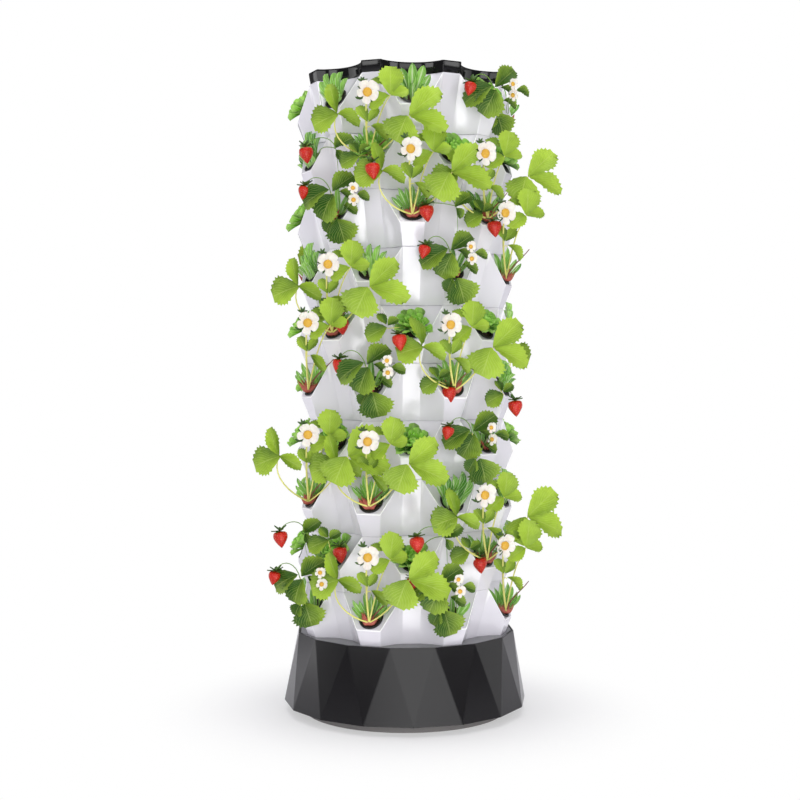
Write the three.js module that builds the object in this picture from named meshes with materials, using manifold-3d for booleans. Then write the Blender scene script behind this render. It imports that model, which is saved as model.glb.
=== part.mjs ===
// Vertical planter tower: ten stacked, scalloped planter layers of eight pockets each stand on a
// faceted water reservoir. A submersible pump lifts water through a riser pipe to a distributor
// under the lid, and it falls back through the layers, past the roots in the net cups.
// Millimetres, +Z up, the front is -Y. The origin is on the floor, on the tower's axis.

import * as THREE from 'three';
import { mergeVertices } from 'three/addons/utils/BufferGeometryUtils.js';
import Module from 'manifold-3d';

const wasm = await Module();
wasm.setup();

// Driving dimensions of the whole tower
const clearance = 0.3;
const overrun = 2;
const pocketsPerLayer = 8;
const layerCount = 10;
const layerPitch = 125.6;
const layerWall = 3.5;
const layerSink = 15;

// A seam between two layers: flats joined by concave scallops
const flatDistance = 229;
const flatHalfWidth = 20.9;
const scallopDistance = 190;
const scallopShares = [0.26, 0.62];

// A pocket: its lip leans out over the flat below, and the planting plate slopes back from it
const lipDistance = 248;
const lipHalfWidth = 27.4;
const lipHeight = 50;

// Net cup, filled with its growing medium and fused with the planting plate that carries it
const cupRadius = 24.5;
const cupFootRadius = 17;
const cupDepth = 46;
const cupStand = 2;
const cupUpSlope = 31;
const cupSides = 6;

// Locating tabs that hold the next layer, or the lid, in place
const tabCount = 4;
const tabWidth = 22;
const tabThickness = 5;
const tabRise = 8;
const tabRoot = 16;
const tabPlay = 1.7;

// Reservoir. Its rim stands out beyond the flats of the tower, its foot beyond the rim, and the
// ring under it is set back from the foot.
const facetCount = 16;
const rimMargin = 22;
const tankFlare = 29;
const tankWall = 5;
const tankHeight = 165;
const ledgeWidth = 9;
const ledgeThickness = 6;
const footRingInset = 46;
const footRingWidth = 26;
const footHeight = 22;
const ringSegments = 36;

// Reservoir deck with the socket that the first layer stands in
const deckThickness = 3.5;
const socketWall = 3;
const socketPlay = 2;
const wellRadius = 150;
const wellSegments = 24;

// Fill port and its cap, at the back
const fillInset = 29;
const fillRadius = 11;
const capRadius = 15;
const capThickness = 4;
const plugDepth = 8;
const gripLength = 20;
const gripWidth = 4;
const gripHeight = 5;
const capSegments = 12;

// Lid
const lidHeight = 26;
const lidWall = 3.2;
const lidFootDistance = 227.5;
const lidBrimDistance = 231.5;
const lidTopDistance = 229;
const lidChamfer = 3;

// Drip tray
const trayThickness = 3;
const trayPlay = 1.5;
const trayHoleRadius = 3;
const trayHoleDistances = [155];
const trayHoleSides = 6;

// Riser pipe and its sleeves
const riserRadius = 12.5;
const riserWall = 2.2;
const riserSections = 3;
const riserEndGap = 3;
const sleeveWall = 3;
const sleeveHeight = 44;
const tubeSegments = 12;

// Water distributor on top of the riser
const headRadius = 34;
const headHeight = 9;
const headWall = 2.5;
const headSpouts = 4;
const spoutRadius = 2;

// Pump
const pumpWidth = 54;
const pumpLength = 66;
const pumpHeight = 48;
const pumpCorner = 9;
const pumpAxisHeight = 24;
const chamberRadius = 18;
const chamberDepth = 20;
const outletRadius = 10;
const outletBore = 6;
const outletHeight = 16;
const shaftRadius = 2;
const shaftSeat = 6;
const impellerRadius = 16;
const impellerWidth = 12;
const impellerHubRadius = 6;
const impellerVanes = 6;
const vaneThickness = 2;
const footPadRadius = 7;
const footPadHeight = 7;
const footPadInset = 11;
const strainerThickness = 3;
const strainerMargin = 3;
const strainerSlots = 5;
const slotWidth = 3;
const slotPitch = 7;
const slotLength = 26;
const glandRadius = 6;
const glandLength = 12;
const glandTipShare = 0.55;

// Strawberry plants: crown, leaf stalks and blades
const crownRadius = 9;
const crownTipRadius = 6;
const crownHeight = 20;
const crownSides = 6;
const stalkRadius = 2.6;
const bladeThickness = 3;
// The blades stand this far in front of the pockets' lips, but turn no further round the tower
// than the share says. They lean out by the second share of their length.
const bladeGap = 40;
const bladeTurnShare = 0.7;
const bladeLeanShare = 0.2;
// A blade's tip as a share of its width
const bladeTipShare = 0.3;
// Each blade in shares of a plant's reach: its middle beside and above the foot of the crown, seen
// from the side that the plant faces, its length, its half width and how far forward it stands
const plantReach = 100;
const blades = [
  { side: -0.7, up: 0.86, length: 0.64, halfWidth: 0.4, front: 0 },
  { side: 0.46, up: 1.29, length: 0.6, halfWidth: 0.28, front: -0.1 },
  { side: 0.88, up: 0.84, length: 0.96, halfWidth: 0.64, front: 0.24 },
  { side: -0.04, up: 0.66, length: 0.44, halfWidth: 0.2, front: 0.14 },
];
// Pockets that hold a strawberry plant, by layer and pocket azimuth, for the plants that face the
// front and for those that face the back
const frontPockets = [
  [9, -22.5], [8, 0], [8, 45], [7, 67.5], [6, -45], [5, -67.5],
  [5, 22.5], [3, -67.5], [3, -22.5], [2, 45], [1, -22.5], [1, 67.5],
];
const backPockets = [[8, 180], [7, -112.5], [5, 112.5], [3, 157.5]];

// Derived sizes
const turn = 2 * Math.PI;
const sector = turn / pocketsPerLayer;
const layerHeight = layerPitch - clearance;
const tankRimRadius = flatDistance + rimMargin;
const tankFootRadius = tankRimRadius + tankFlare;
const footRingRadius = tankFootRadius - footRingInset;
const fillDistance = tankRimRadius - fillInset;
const rimHeight = footHeight + tankHeight;
const towerFoot = rimHeight - layerSink;
const towerTop = towerFoot + layerCount * layerPitch - clearance;
const deckRadius = tankRimRadius - tankWall - clearance;
const floorTop = footHeight + tankWall;
const lidFoot = towerTop + clearance;
const trayFoot = towerTop + tabRise + clearance;
const tabDistance = flatDistance - layerWall - tabPlay;
const bladeDistance = lipDistance + bladeGap;

const finish = (color, roughness, metalness = 0) =>
  new THREE.MeshStandardMaterial({ color, roughness, metalness });
const whitePlastic = finish(0xf2f2f3, 0.4);
const greyPlastic = finish(0x4a4a4c, 0.45);
const deckPlastic = finish(0x737373, 0.5);
const blackPlastic = finish(0x1b1b1d, 0.3);
const pumpPlastic = finish(0x26282b, 0.5);
const steel = finish(0xb8bcc0, 0.3, 1);
const rubber = finish(0x151515, 0.85);
const leafGreen = finish(0x7fae2c, 0.7);

// Closed solids to booleans and back

function solidOf(geometry) {
  const bare = new THREE.BufferGeometry();
  bare.setAttribute('position', geometry.getAttribute('position'));
  bare.setIndex(geometry.getIndex());
  const merged = mergeVertices(bare);
  const mesh = new wasm.Mesh({
    numProp: 3,
    vertProperties: Float32Array.from(merged.getAttribute('position').array),
    triVerts: Uint32Array.from(merged.getIndex().array),
  });
  return new wasm.Manifold(mesh);
}

function geometryOf(solid) {
  const mesh = solid.getMesh();
  const geometry = new THREE.BufferGeometry();
  geometry.setAttribute('position', new THREE.BufferAttribute(mesh.vertProperties, 3));
  geometry.setIndex(new THREE.BufferAttribute(mesh.triVerts, 1));
  return geometry;
}

const joined = (solids) => solids.reduce((all, next) => all.add(next));
const cutBy = (solid, tools) => tools.reduce((rest, tool) => rest.subtract(tool), solid);

function placed(geometry, matrix) {
  return solidOf(geometry.clone().applyMatrix4(matrix));
}

// A point at an azimuth (0 at the front, towards +X), a distance from the axis and a height,
// moved sideways square to that azimuth
function polar(azimuth, distance, side = 0, z = 0) {
  return new THREE.Vector3(
    distance * Math.sin(azimuth) + side * Math.cos(azimuth),
    -distance * Math.cos(azimuth) + side * Math.sin(azimuth),
    z,
  );
}

// A closed solid from rings of points that all run the same way. Its ends close on a middle point,
// or on each other where it is a shell.
function loft(rings, shell = false) {
  const count = rings[0].length;
  const positions = rings.flat().flatMap((p) => [p.x, p.y, p.z]);
  const index = [];
  const levels = shell ? rings.length : rings.length - 1;
  for (let level = 0; level < levels; level += 1) {
    const above = ((level + 1) % rings.length) * count;
    for (let i = 0; i < count; i += 1) {
      const next = (i + 1) % count;
      const [a, b] = [level * count + i, level * count + next];
      index.push(a, b, above + next, a, above + next, above + i);
    }
  }
  const close = (ring, start, upward) => {
    const middle = ring.reduce((sum, p) => sum.add(p), new THREE.Vector3()).divideScalar(count);
    const centre = positions.length / 3;
    positions.push(middle.x, middle.y, middle.z);
    for (let i = 0; i < count; i += 1) {
      const a = start + i;
      const b = start + ((i + 1) % count);
      index.push(centre, upward ? a : b, upward ? b : a);
    }
  };
  if (!shell) {
    close(rings[0], 0, false);
    close(rings[rings.length - 1], (rings.length - 1) * count, true);
  }
  const geometry = new THREE.BufferGeometry();
  geometry.setAttribute('position', new THREE.Float32BufferAttribute(positions, 3));
  geometry.setIndex(dropFlatFaces(positions, index));
  return geometry;
}

// Where two rings share a point, one of the two triangles there has no area
function dropFlatFaces(positions, index) {
  const key = (i) => positions.slice(3 * i, 3 * i + 3).join(' ');
  const kept = [];
  for (let i = 0; i < index.length; i += 3) {
    const corners = index.slice(i, i + 3);
    if (new Set(corners.map(key)).size === 3) kept.push(...corners);
  }
  return kept;
}

// A turned solid about +Z from a closed profile of [radius, height] pairs
function turned(profile, segments) {
  const points = [...profile, profile[0]].map(([r, z]) => new THREE.Vector2(r, z));
  return new THREE.LatheGeometry(points, segments).rotateX(turn / 4);
}

function ringPrism(radius, segments, bottom, top, offsetShare = 0) {
  const ring = (z) => Array.from({ length: segments },
    (_, i) => polar(((i + offsetShare) * turn) / segments, radius, 0, z));
  return loft([ring(bottom), ring(top)]);
}

function rod(radius, bottom, top, sides = tubeSegments) {
  return ringPrism(radius, sides, bottom, top);
}

// Scalloped outlines

// The circle that a scallop follows, from its lowest point to the corners of two flats
const cornerSide = flatDistance * Math.sin(sector / 2) - flatHalfWidth * Math.cos(sector / 2);
const cornerOut = flatDistance * Math.cos(sector / 2) + flatHalfWidth * Math.sin(sector / 2);
const scallopSag = cornerOut - scallopDistance;
const scallopRadius = (cornerSide ** 2 + scallopSag ** 2) / (2 * scallopSag);
const scallopHalfAngle = Math.asin(cornerSide / scallopRadius);

const scallopOut = (share) => scallopDistance + scallopRadius * (1 - Math.cos(share * scallopHalfAngle));
const scallopSide = (share) => scallopRadius * Math.sin(share * scallopHalfAngle);

// A seam, sector by sector: from the corner of one flat through the scallop to the next flat.
// It has as many points before the middle of each scallop as after it.
function seamOutline(firstFlat, z = 0) {
  const shares = [1, ...[...scallopShares].reverse(), ...scallopShares.map((s) => -s), -1];
  return Array.from({ length: pocketsPerLayer }, (_, k) => shares.map((share) => polar(
    firstFlat + (k + 1 / 2) * sector, scallopOut(share), -scallopSide(share), z))).flat();
}
const perSector = 2 * (scallopShares.length + 1);
const halfSector = perSector / 2;
const turnedBack = (ring) => ring.map((_, i) => ring.at(i - halfSector));

function scaledOut(ring, share, z) {
  return ring.map((p) => new THREE.Vector3(p.x * share, p.y * share, z ?? p.z));
}

// The three rings of a layer: its foot, the mouths of its pockets and its top. The mouth's edge
// runs along the lip and then straight up to the corners of the flats on top of the ribs.
function layerRings() {
  const foot = seamOutline(0);
  const top = turnedBack(seamOutline(sector / 2, layerHeight));
  const mouth = top.map((_, i) => {
    const at = i % perSector;
    const way = at < halfSector ? 1 : -1;
    const steps = way > 0 ? at : perSector - 1 - at;
    const pocket = ((i - at) / perSector + (way > 0 ? 0 : 1)) * sector;
    const lipCorner = polar(pocket, lipDistance, way * lipHalfWidth, lipHeight);
    const ribCorner = top[i - way * (steps - halfSector + 1)];
    return lipCorner.lerp(ribCorner, steps / (halfSector - 1));
  });
  return [foot, mouth, top];
}

// The outline of a layer at a height below its lips
function layerSection(height, z) {
  const [foot, mouth] = layerRings();
  return foot.map((p, i) => p.clone().lerp(mouth[i], height / mouth[i].z).setZ(z));
}

// Planter layers

// The planting plate's slope, from the lip up to the bottom of the scallop above it
const plateRun = lipDistance - scallopOut(scallopShares[0]);
const plateRise = layerHeight - lipHeight;
const plateTilt = Math.atan2(plateRun, plateRise);
const cupDistance = lipDistance - cupUpSlope * Math.sin(plateTilt);
const cupHeight = lipHeight + cupUpSlope * Math.cos(plateTilt);

// Puts +Y of a turned piece on the plate's outward normal, at the middle of a pocket's cup
function cupPlace(azimuth, lift) {
  return new THREE.Matrix4()
    .makeTranslation(polar(azimuth, cupDistance, 0, cupHeight))
    .multiply(new THREE.Matrix4().makeRotationZ(azimuth + turn / 2))
    .multiply(new THREE.Matrix4().makeRotationX(plateTilt))
    .multiply(new THREE.Matrix4().makeTranslation(0, lift, 0));
}

function netCup(azimuth) {
  const height = cupDepth + cupStand;
  const cup = new THREE.CylinderGeometry(cupRadius, cupFootRadius, height, cupSides);
  return placed(cup, cupPlace(azimuth, cupStand - height / 2));
}

function locatingTab(azimuth) {
  const height = tabRise + tabRoot;
  const box = new THREE.BoxGeometry(tabWidth, tabThickness, height);
  const middle = layerHeight + tabRise - height / 2;
  const at = polar(azimuth, tabDistance - tabThickness / 2, 0, middle);
  return placed(box, new THREE.Matrix4().makeTranslation(at)
    .multiply(new THREE.Matrix4().makeRotationZ(azimuth)));
}

function planterLayer() {
  const rings = layerRings();
  const inner = rings.map((ring) => scaledOut(ring, (flatDistance - layerWall) / flatDistance));
  const azimuths = Array.from({ length: pocketsPerLayer }, (_, k) => k * sector);
  const tabs = Array.from({ length: tabCount }, (_, k) => sector / 2 + (k * turn) / tabCount);
  const shell = solidOf(loft([...rings, ...inner.reverse()], true));
  return geometryOf(joined([shell, ...azimuths.map(netCup), ...tabs.map(locatingTab)]));
}

// Reservoir

// The outline of the first layer where it leaves the deck, with some play, as an upright block
const firstLayerTurn = sector / 2;
function socketBlock(play, bottom, top) {
  const share = (flatDistance + play) / flatDistance;
  const outline = layerSection(layerSink, 0);
  const block = loft([scaledOut(outline, share, bottom), scaledOut(outline, share, top)]);
  return solidOf(block.rotateZ(firstLayerTurn));
}

// A frustum of triangles: the rim's corners stand over the middles of the foot's edges
function facetedFrustum(inset, bottom, top) {
  const share = (tankFootRadius - inset) / tankFootRadius;
  const ring = (radius, offset, z) => Array.from({ length: facetCount },
    (_, i) => polar(((i + offset) * turn) / facetCount, radius * share, 0, z));
  return loft([ring(tankFootRadius, 0, bottom), ring(tankRimRadius, 1 / 2, top)]);
}

function reservoirTank() {
  const outside = solidOf(facetedFrustum(0, footHeight, rimHeight));
  const inside = solidOf(facetedFrustum(tankWall, floorTop, rimHeight + clearance));
  const ledgeTop = rimHeight - deckThickness - clearance;
  const ledgeOuter = tankRimRadius - tankWall / 2;
  const band = ringPrism(ledgeOuter, facetCount, ledgeTop - ledgeThickness, ledgeTop, 1 / 2);
  const bore = ringPrism(ledgeOuter - ledgeWidth, facetCount,
    ledgeTop - ledgeThickness - overrun, ledgeTop + overrun, 1 / 2);
  const notches = socketBlock(socketPlay + socketWall + clearance,
    ledgeTop - ledgeThickness - overrun, ledgeTop + overrun);
  const ledge = cutBy(solidOf(band), [solidOf(bore), notches]);
  return geometryOf(outside.subtract(inside).add(ledge));
}

function footRing() {
  const inner = footRingRadius - footRingWidth;
  const top = footHeight - clearance;
  return turned([[inner, 0], [footRingRadius, 0], [footRingRadius, top], [inner, top]], ringSegments);
}

function reservoirDeck() {
  const panTop = towerFoot - clearance;
  const plate = solidOf(ringPrism(deckRadius, facetCount, rimHeight - deckThickness, rimHeight, 1 / 2));
  const pan = socketBlock(socketPlay + socketWall, panTop - socketWall, rimHeight);
  const recess = socketBlock(socketPlay, panTop, rimHeight + overrun);
  const well = solidOf(ringPrism(wellRadius, wellSegments, panTop - socketWall - overrun, rimHeight));
  const port = solidOf(rod(fillRadius, rimHeight - deckThickness - overrun, rimHeight + overrun)
    .translate(0, fillDistance, 0));
  return geometryOf(cutBy(plate.add(pan), [recess, well, port]));
}

function fillCap() {
  const plugRadius = fillRadius - clearance;
  const seat = rimHeight + clearance;
  const body = turned([[0, seat - plugDepth], [plugRadius, seat - plugDepth], [plugRadius, seat],
    [capRadius, seat], [capRadius, seat + capThickness], [0, seat + capThickness]], capSegments);
  const grip = new THREE.BoxGeometry(gripLength, gripWidth, gripHeight + overrun);
  grip.translate(0, 0, seat + capThickness + (gripHeight - overrun) / 2);
  return geometryOf(solidOf(body).add(solidOf(grip))).translate(0, fillDistance, 0);
}

// Pump, standing on the reservoir's floor under the riser

const pumpFoot = floorTop + clearance + footPadHeight + clearance;
const pumpTop = pumpFoot + pumpHeight;
const pumpFront = -pumpLength / 2;
const pumpAxis = pumpFoot + pumpAxisHeight;

// Turns a rod about +Z so that it runs along Y on the impeller's axis
const alongY = () => new THREE.Matrix4().makeTranslation(0, 0, pumpAxis)
  .multiply(new THREE.Matrix4().makeRotationX(turn / 4));
// A rod on the impeller's axis between two places along Y
const axisRod = (radius, from, to, sides) => placed(rod(radius, -to, -from, sides), alongY());

function roundedPlan(width, length, corner) {
  const shape = new THREE.Shape();
  const [x, y] = [width / 2 - corner, length / 2 - corner];
  shape.absarc(x, y, corner, 0, turn / 4);
  shape.absarc(-x, y, corner, turn / 4, turn / 2);
  shape.absarc(-x, -y, corner, turn / 2, (3 * turn) / 4);
  shape.absarc(x, -y, corner, (3 * turn) / 4, turn);
  return shape;
}

function pumpHousing() {
  const settings = { depth: pumpHeight, bevelEnabled: false, curveSegments: 3 };
  const plan = roundedPlan(pumpWidth, pumpLength, pumpCorner);
  const block = solidOf(new THREE.ExtrudeGeometry(plan, settings).translate(0, 0, pumpFoot));
  const chamber = axisRod(chamberRadius, pumpFront - overrun, pumpFront + chamberDepth);
  const seat = axisRod(shaftRadius + clearance, pumpFront, pumpFront + chamberDepth + shaftSeat);
  const outlet = solidOf(rod(outletRadius, pumpTop - overrun, pumpTop + outletHeight));
  const ductFoot = pumpAxis + chamberRadius / 2;
  const duct = solidOf(rod(outletBore, ductFoot, pumpTop + outletHeight + overrun));
  const throat = axisRod(outletBore, pumpFront + chamberDepth / 2, outletBore / 2)
    .translate([0, 0, chamberRadius - outletBore]);
  return geometryOf(cutBy(block.add(outlet), [chamber, seat, duct, throat]));
}

function pumpStrainer() {
  const width = pumpWidth - 2 * (pumpCorner - strainerMargin);
  const height = pumpHeight - 2 * strainerMargin;
  const plate = new THREE.BoxGeometry(width, strainerThickness, height);
  const at = pumpFront - clearance - strainerThickness / 2;
  const slots = Array.from({ length: strainerSlots }, (_, i) => {
    const slot = new THREE.BoxGeometry(slotWidth, strainerThickness + overrun, slotLength);
    return solidOf(slot.translate((i - (strainerSlots - 1) / 2) * slotPitch, at, pumpAxis));
  });
  return geometryOf(cutBy(solidOf(plate.translate(0, at, pumpFoot + pumpHeight / 2)), slots));
}

const shaftFront = pumpFront + clearance;
function pumpShaft() {
  return geometryOf(axisRod(shaftRadius, shaftFront, pumpFront + chamberDepth + shaftSeat - clearance));
}

function pumpImpeller() {
  const back = pumpFront + chamberDepth - clearance - (chamberDepth - impellerWidth) / 2;
  const front = back - impellerWidth;
  const vanes = Array.from({ length: impellerVanes }, (_, i) => {
    const length = impellerRadius - impellerHubRadius / 2;
    const vane = new THREE.BoxGeometry(length, vaneThickness, impellerWidth);
    vane.translate(impellerRadius - length / 2, 0, -(back + front) / 2);
    vane.rotateZ((i * turn) / impellerVanes);
    return placed(vane, alongY());
  });
  const hub = axisRod(impellerHubRadius, front, back);
  const bore = axisRod(shaftRadius + clearance, front - overrun, back + overrun);
  return geometryOf(joined([hub, ...vanes]).subtract(bore));
}

function footPad(x, y) {
  return rod(footPadRadius, floorTop + clearance, floorTop + clearance + footPadHeight, capSegments)
    .translate(x, y, 0);
}

function cableGland() {
  const back = pumpLength / 2 + clearance;
  const profile = [[0, 0], [glandRadius, 0], [glandRadius * glandTipShare, glandLength], [0, glandLength]];
  return turned(profile, capSegments).rotateX(-turn / 4).translate(0, back, pumpAxis);
}

// Riser, from the pump's outlet to the distributor

const riserBore = riserRadius - riserWall;
const riserFoot = pumpTop + clearance;
const riserTop = trayFoot + trayThickness + headHeight / 2;
const sectionStep = (riserTop + riserEndGap - riserFoot) / riserSections;

function tube(outer, inner, bottom, top) {
  return turned([[inner, bottom], [outer, bottom], [outer, top], [inner, top]], tubeSegments);
}

function riserSection(index) {
  const bottom = riserFoot + index * sectionStep;
  return tube(riserRadius, riserBore, bottom, bottom + sectionStep - riserEndGap);
}

// A sleeve over two pipe ends, with a stop ring between them
function riserSleeve(index) {
  const middle = riserFoot + index * sectionStep - riserEndGap / 2;
  const stop = riserEndGap / 2 - clearance;
  const [low, high] = [middle - sleeveHeight / 2, middle + sleeveHeight / 2];
  const inner = riserRadius + clearance;
  return turned([[inner, low], [inner + sleeveWall, low], [inner + sleeveWall, high], [inner, high],
    [inner, middle + stop], [riserBore, middle + stop], [riserBore, middle - stop],
    [inner, middle - stop]], tubeSegments);
}

function waterDistributor() {
  const foot = trayFoot + trayThickness + clearance;
  const top = foot + headHeight;
  const inner = riserRadius + clearance;
  const roof = top - headWall;
  const body = solidOf(turned([[inner, foot], [headRadius, foot], [headRadius, roof],
    [headRadius - headWall, top], [0, top], [0, roof], [inner, roof]], tubeSegments));
  const spouts = Array.from({ length: headSpouts }, (_, i) => {
    const spout = rod(spoutRadius, inner - overrun, headRadius + overrun, trayHoleSides);
    spout.rotateY(turn / 4).rotateZ((i * turn) / headSpouts);
    return solidOf(spout.translate(0, 0, roof - spoutRadius));
  });
  return geometryOf(cutBy(body, spouts));
}

// The top layer's flats lie half a sector from its pockets, and the lid and tray follow them
const topFlat = ((layerCount % 2) * sector) / 2 + sector / 2;

function topOutline(distance, z) {
  return scaledOut(seamOutline(topFlat), distance / flatDistance, z);
}

function dripTray() {
  const flat = lidFootDistance - lidWall - trayPlay;
  const top = trayFoot + trayThickness;
  const plate = solidOf(loft([topOutline(flat, trayFoot), topOutline(flat, top)]));
  const holes = [solidOf(rod(riserRadius + clearance, trayFoot - overrun, top + overrun))];
  for (const distance of trayHoleDistances) {
    for (let k = 0; k < pocketsPerLayer; k += 1) {
      const at = polar(topFlat + (k + 1 / 2) * sector, distance);
      const hole = rod(trayHoleRadius, trayFoot - overrun, top + overrun, trayHoleSides);
      holes.push(solidOf(hole.translate(at.x, at.y, 0)));
    }
  }
  return geometryOf(cutBy(plate, holes));
}

function topLid() {
  const top = lidFoot + lidHeight;
  const outside = loft([topOutline(lidFootDistance, lidFoot), topOutline(lidBrimDistance, top - lidChamfer),
    topOutline(lidTopDistance, top)]);
  const inside = loft([topOutline(lidFootDistance - lidWall, lidFoot - overrun),
    topOutline(lidBrimDistance - lidWall, top - lidWall)]);
  return geometryOf(solidOf(outside).subtract(solidOf(inside)));
}

// Strawberry plants

// A leaf on its stalk: four-sided rings, wide and thin at a blade that stands along the tower
function leaf(start, seat, facing, { side, up, length, halfWidth, front }) {
  const beside = seat.x * Math.cos(facing) + seat.y * Math.sin(facing) + side * plantReach;
  const share = THREE.MathUtils.clamp(beside / bladeDistance, -bladeTurnShare, bladeTurnShare);
  const bend = Math.asin(share);
  const depth = (bladeDistance + front * plantReach) * Math.cos(bend);
  const middle = polar(facing, depth, beside, seat.z + up * plantReach);
  const outward = polar(facing + bend, 1);
  const rise = middle.clone().sub(start).projectOnPlane(outward).normalize();
  const along = rise.addScaledVector(outward, bladeLeanShare).normalize();
  const wide = along.clone().cross(outward).normalize();
  const ring = (at, half, thick) => [
    at.clone().addScaledVector(wide, half), at.clone().addScaledVector(outward, -thick),
    at.clone().addScaledVector(wide, -half), at.clone().addScaledVector(outward, thick),
  ];
  const base = middle.clone().addScaledVector(along, (-length * plantReach) / 2);
  const tip = middle.clone().addScaledVector(along, (length * plantReach) / 2);
  const half = halfWidth * plantReach;
  const thin = bladeThickness / 2;
  return solidOf(loft([ring(start, stalkRadius, stalkRadius), ring(base, stalkRadius, thin),
    ring(middle, half, thin), ring(tip, half * bladeTipShare, thin)]));
}

function strawberryPlant(azimuth, facing) {
  const lift = cupStand + clearance;
  const crown = new THREE.CylinderGeometry(crownTipRadius, crownRadius, crownHeight, crownSides);
  const middle = cupPlace(azimuth, lift + crownHeight / 2);
  const start = new THREE.Vector3().applyMatrix4(middle);
  const seat = new THREE.Vector3().applyMatrix4(cupPlace(azimuth, lift));
  const leaves = blades.map((blade) => leaf(start, seat, facing, blade));
  return geometryOf(joined([placed(crown, middle), ...leaves]));
}

// Assembly

const tower = new THREE.Group();

function add(name, geometry, material, { z = 0, rotation = 0 } = {}) {
  const mesh = new THREE.Mesh(geometry, material);
  mesh.name = name;
  mesh.position.z = z;
  mesh.rotation.z = rotation;
  tower.add(mesh);
}

add('foot_ring', footRing(), blackPlastic);
add('reservoir_tank', reservoirTank(), greyPlastic);
add('reservoir_deck', reservoirDeck(), deckPlastic);
add('fill_cap', fillCap(), blackPlastic);

const [padX, padY] = [pumpWidth / 2 - footPadInset, pumpLength / 2 - footPadInset];
add('pump_foot_front_left', footPad(-padX, -padY), rubber);
add('pump_foot_front_right', footPad(padX, -padY), rubber);
add('pump_foot_rear_left', footPad(-padX, padY), rubber);
add('pump_foot_rear_right', footPad(padX, padY), rubber);
add('pump_housing', pumpHousing(), pumpPlastic);
add('pump_strainer', pumpStrainer(), pumpPlastic);
add('pump_shaft', pumpShaft(), steel);
add('pump_impeller', pumpImpeller(), whitePlastic);
add('pump_cable_gland', cableGland(), rubber);

for (let i = 0; i < riserSections; i += 1) {
  add(`riser_pipe_${i + 1}`, riserSection(i), whitePlastic);
  if (i > 0) add(`riser_sleeve_${i}`, riserSleeve(i), whitePlastic);
}
add('water_distributor', waterDistributor(), whitePlastic);
add('drip_tray', dripTray(), whitePlastic);

const layerShape = planterLayer();
const layerTurn = (layer) => ((layer % 2) * sector) / 2;
const layerFoot = (layer) => towerFoot + (layer - 1) * layerPitch;
for (let layer = 1; layer <= layerCount; layer += 1) {
  const number = String(layer).padStart(2, '0');
  add(`planter_layer_${number}`, layerShape, whitePlastic,
    { z: layerFoot(layer), rotation: layerTurn(layer) });
}
add('top_lid', topLid(), blackPlastic);

const plants = [
  ...frontPockets.map((pocket) => [...pocket, 0]), ...backPockets.map((pocket) => [...pocket, turn / 2]),
];
plants.forEach(([layer, degrees, facing], i) => {
  const shape = strawberryPlant(THREE.MathUtils.degToRad(degrees), facing);
  add(`strawberry_plant_${String(i + 1).padStart(2, '0')}`, shape, leafGreen, { z: layerFoot(layer) });
});

export default tower;
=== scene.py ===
"""A vertical planter tower, dressed for the render.

Ten white scalloped planter layers stand on a faceted charcoal reservoir under a black lid.
Strawberries, lettuces and cos grow in net cups in the pockets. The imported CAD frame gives
every place. Lengths are written in millimetres times mm, +Z is up and the front is -Y.
"""
import math
import random

import bmesh
import bpy
from mathutils import Matrix, Vector


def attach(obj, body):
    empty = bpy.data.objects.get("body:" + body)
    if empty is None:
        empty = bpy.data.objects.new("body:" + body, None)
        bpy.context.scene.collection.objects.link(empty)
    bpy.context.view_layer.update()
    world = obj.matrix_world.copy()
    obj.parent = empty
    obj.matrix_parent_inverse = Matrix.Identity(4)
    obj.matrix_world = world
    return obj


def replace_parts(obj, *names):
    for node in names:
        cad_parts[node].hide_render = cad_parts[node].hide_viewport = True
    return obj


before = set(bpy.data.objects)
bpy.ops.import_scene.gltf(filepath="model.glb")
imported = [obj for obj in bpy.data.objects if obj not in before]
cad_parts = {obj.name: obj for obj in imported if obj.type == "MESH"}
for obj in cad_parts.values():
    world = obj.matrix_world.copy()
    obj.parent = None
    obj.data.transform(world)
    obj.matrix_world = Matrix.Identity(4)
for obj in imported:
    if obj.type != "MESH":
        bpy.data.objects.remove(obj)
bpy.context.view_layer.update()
mm = 0.001

# Studio
# A photographer's white cyclorama: a level floor that fades into white, a broad soft light in
# front whose width the glossy faces mirror, two strips on the floor for the walls that lean out
# and two at the sides for the rounded rims, a light behind on each side and one overhead.


def colour(code):
    """An sRGB hex code as a linear colour."""
    parts = [int(code[i:i + 2], 16) / 255 for i in (1, 3, 5)]
    return [p / 12.92 if p <= 0.04045 else ((p + 0.055) / 1.055) ** 2.4 for p in parts] + [1.0]


def feed(tree, node, inputs):
    """Sets a node's inputs. Each is a value, a link, or a node whose first output in use is linked."""
    for name, value in inputs.items():
        if isinstance(value, bpy.types.Node):
            value = next(output for output in value.outputs if output.enabled)
        if isinstance(value, bpy.types.NodeSocket):
            tree.links.new(value, node.inputs[name])
        else:
            node.inputs[name].default_value = value


def add(tree, kind, inputs=None, **settings):
    """Adds a node with its inputs and settings."""
    node = tree.nodes.new(kind)
    for name, value in settings.items():
        setattr(node, name, value)
    feed(tree, node, inputs or {})
    return node


def place(name, data):
    """Links new data to the scene as an object."""
    made = bpy.data.objects.new(name, data)
    bpy.context.scene.collection.objects.link(made)
    return made


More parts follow.
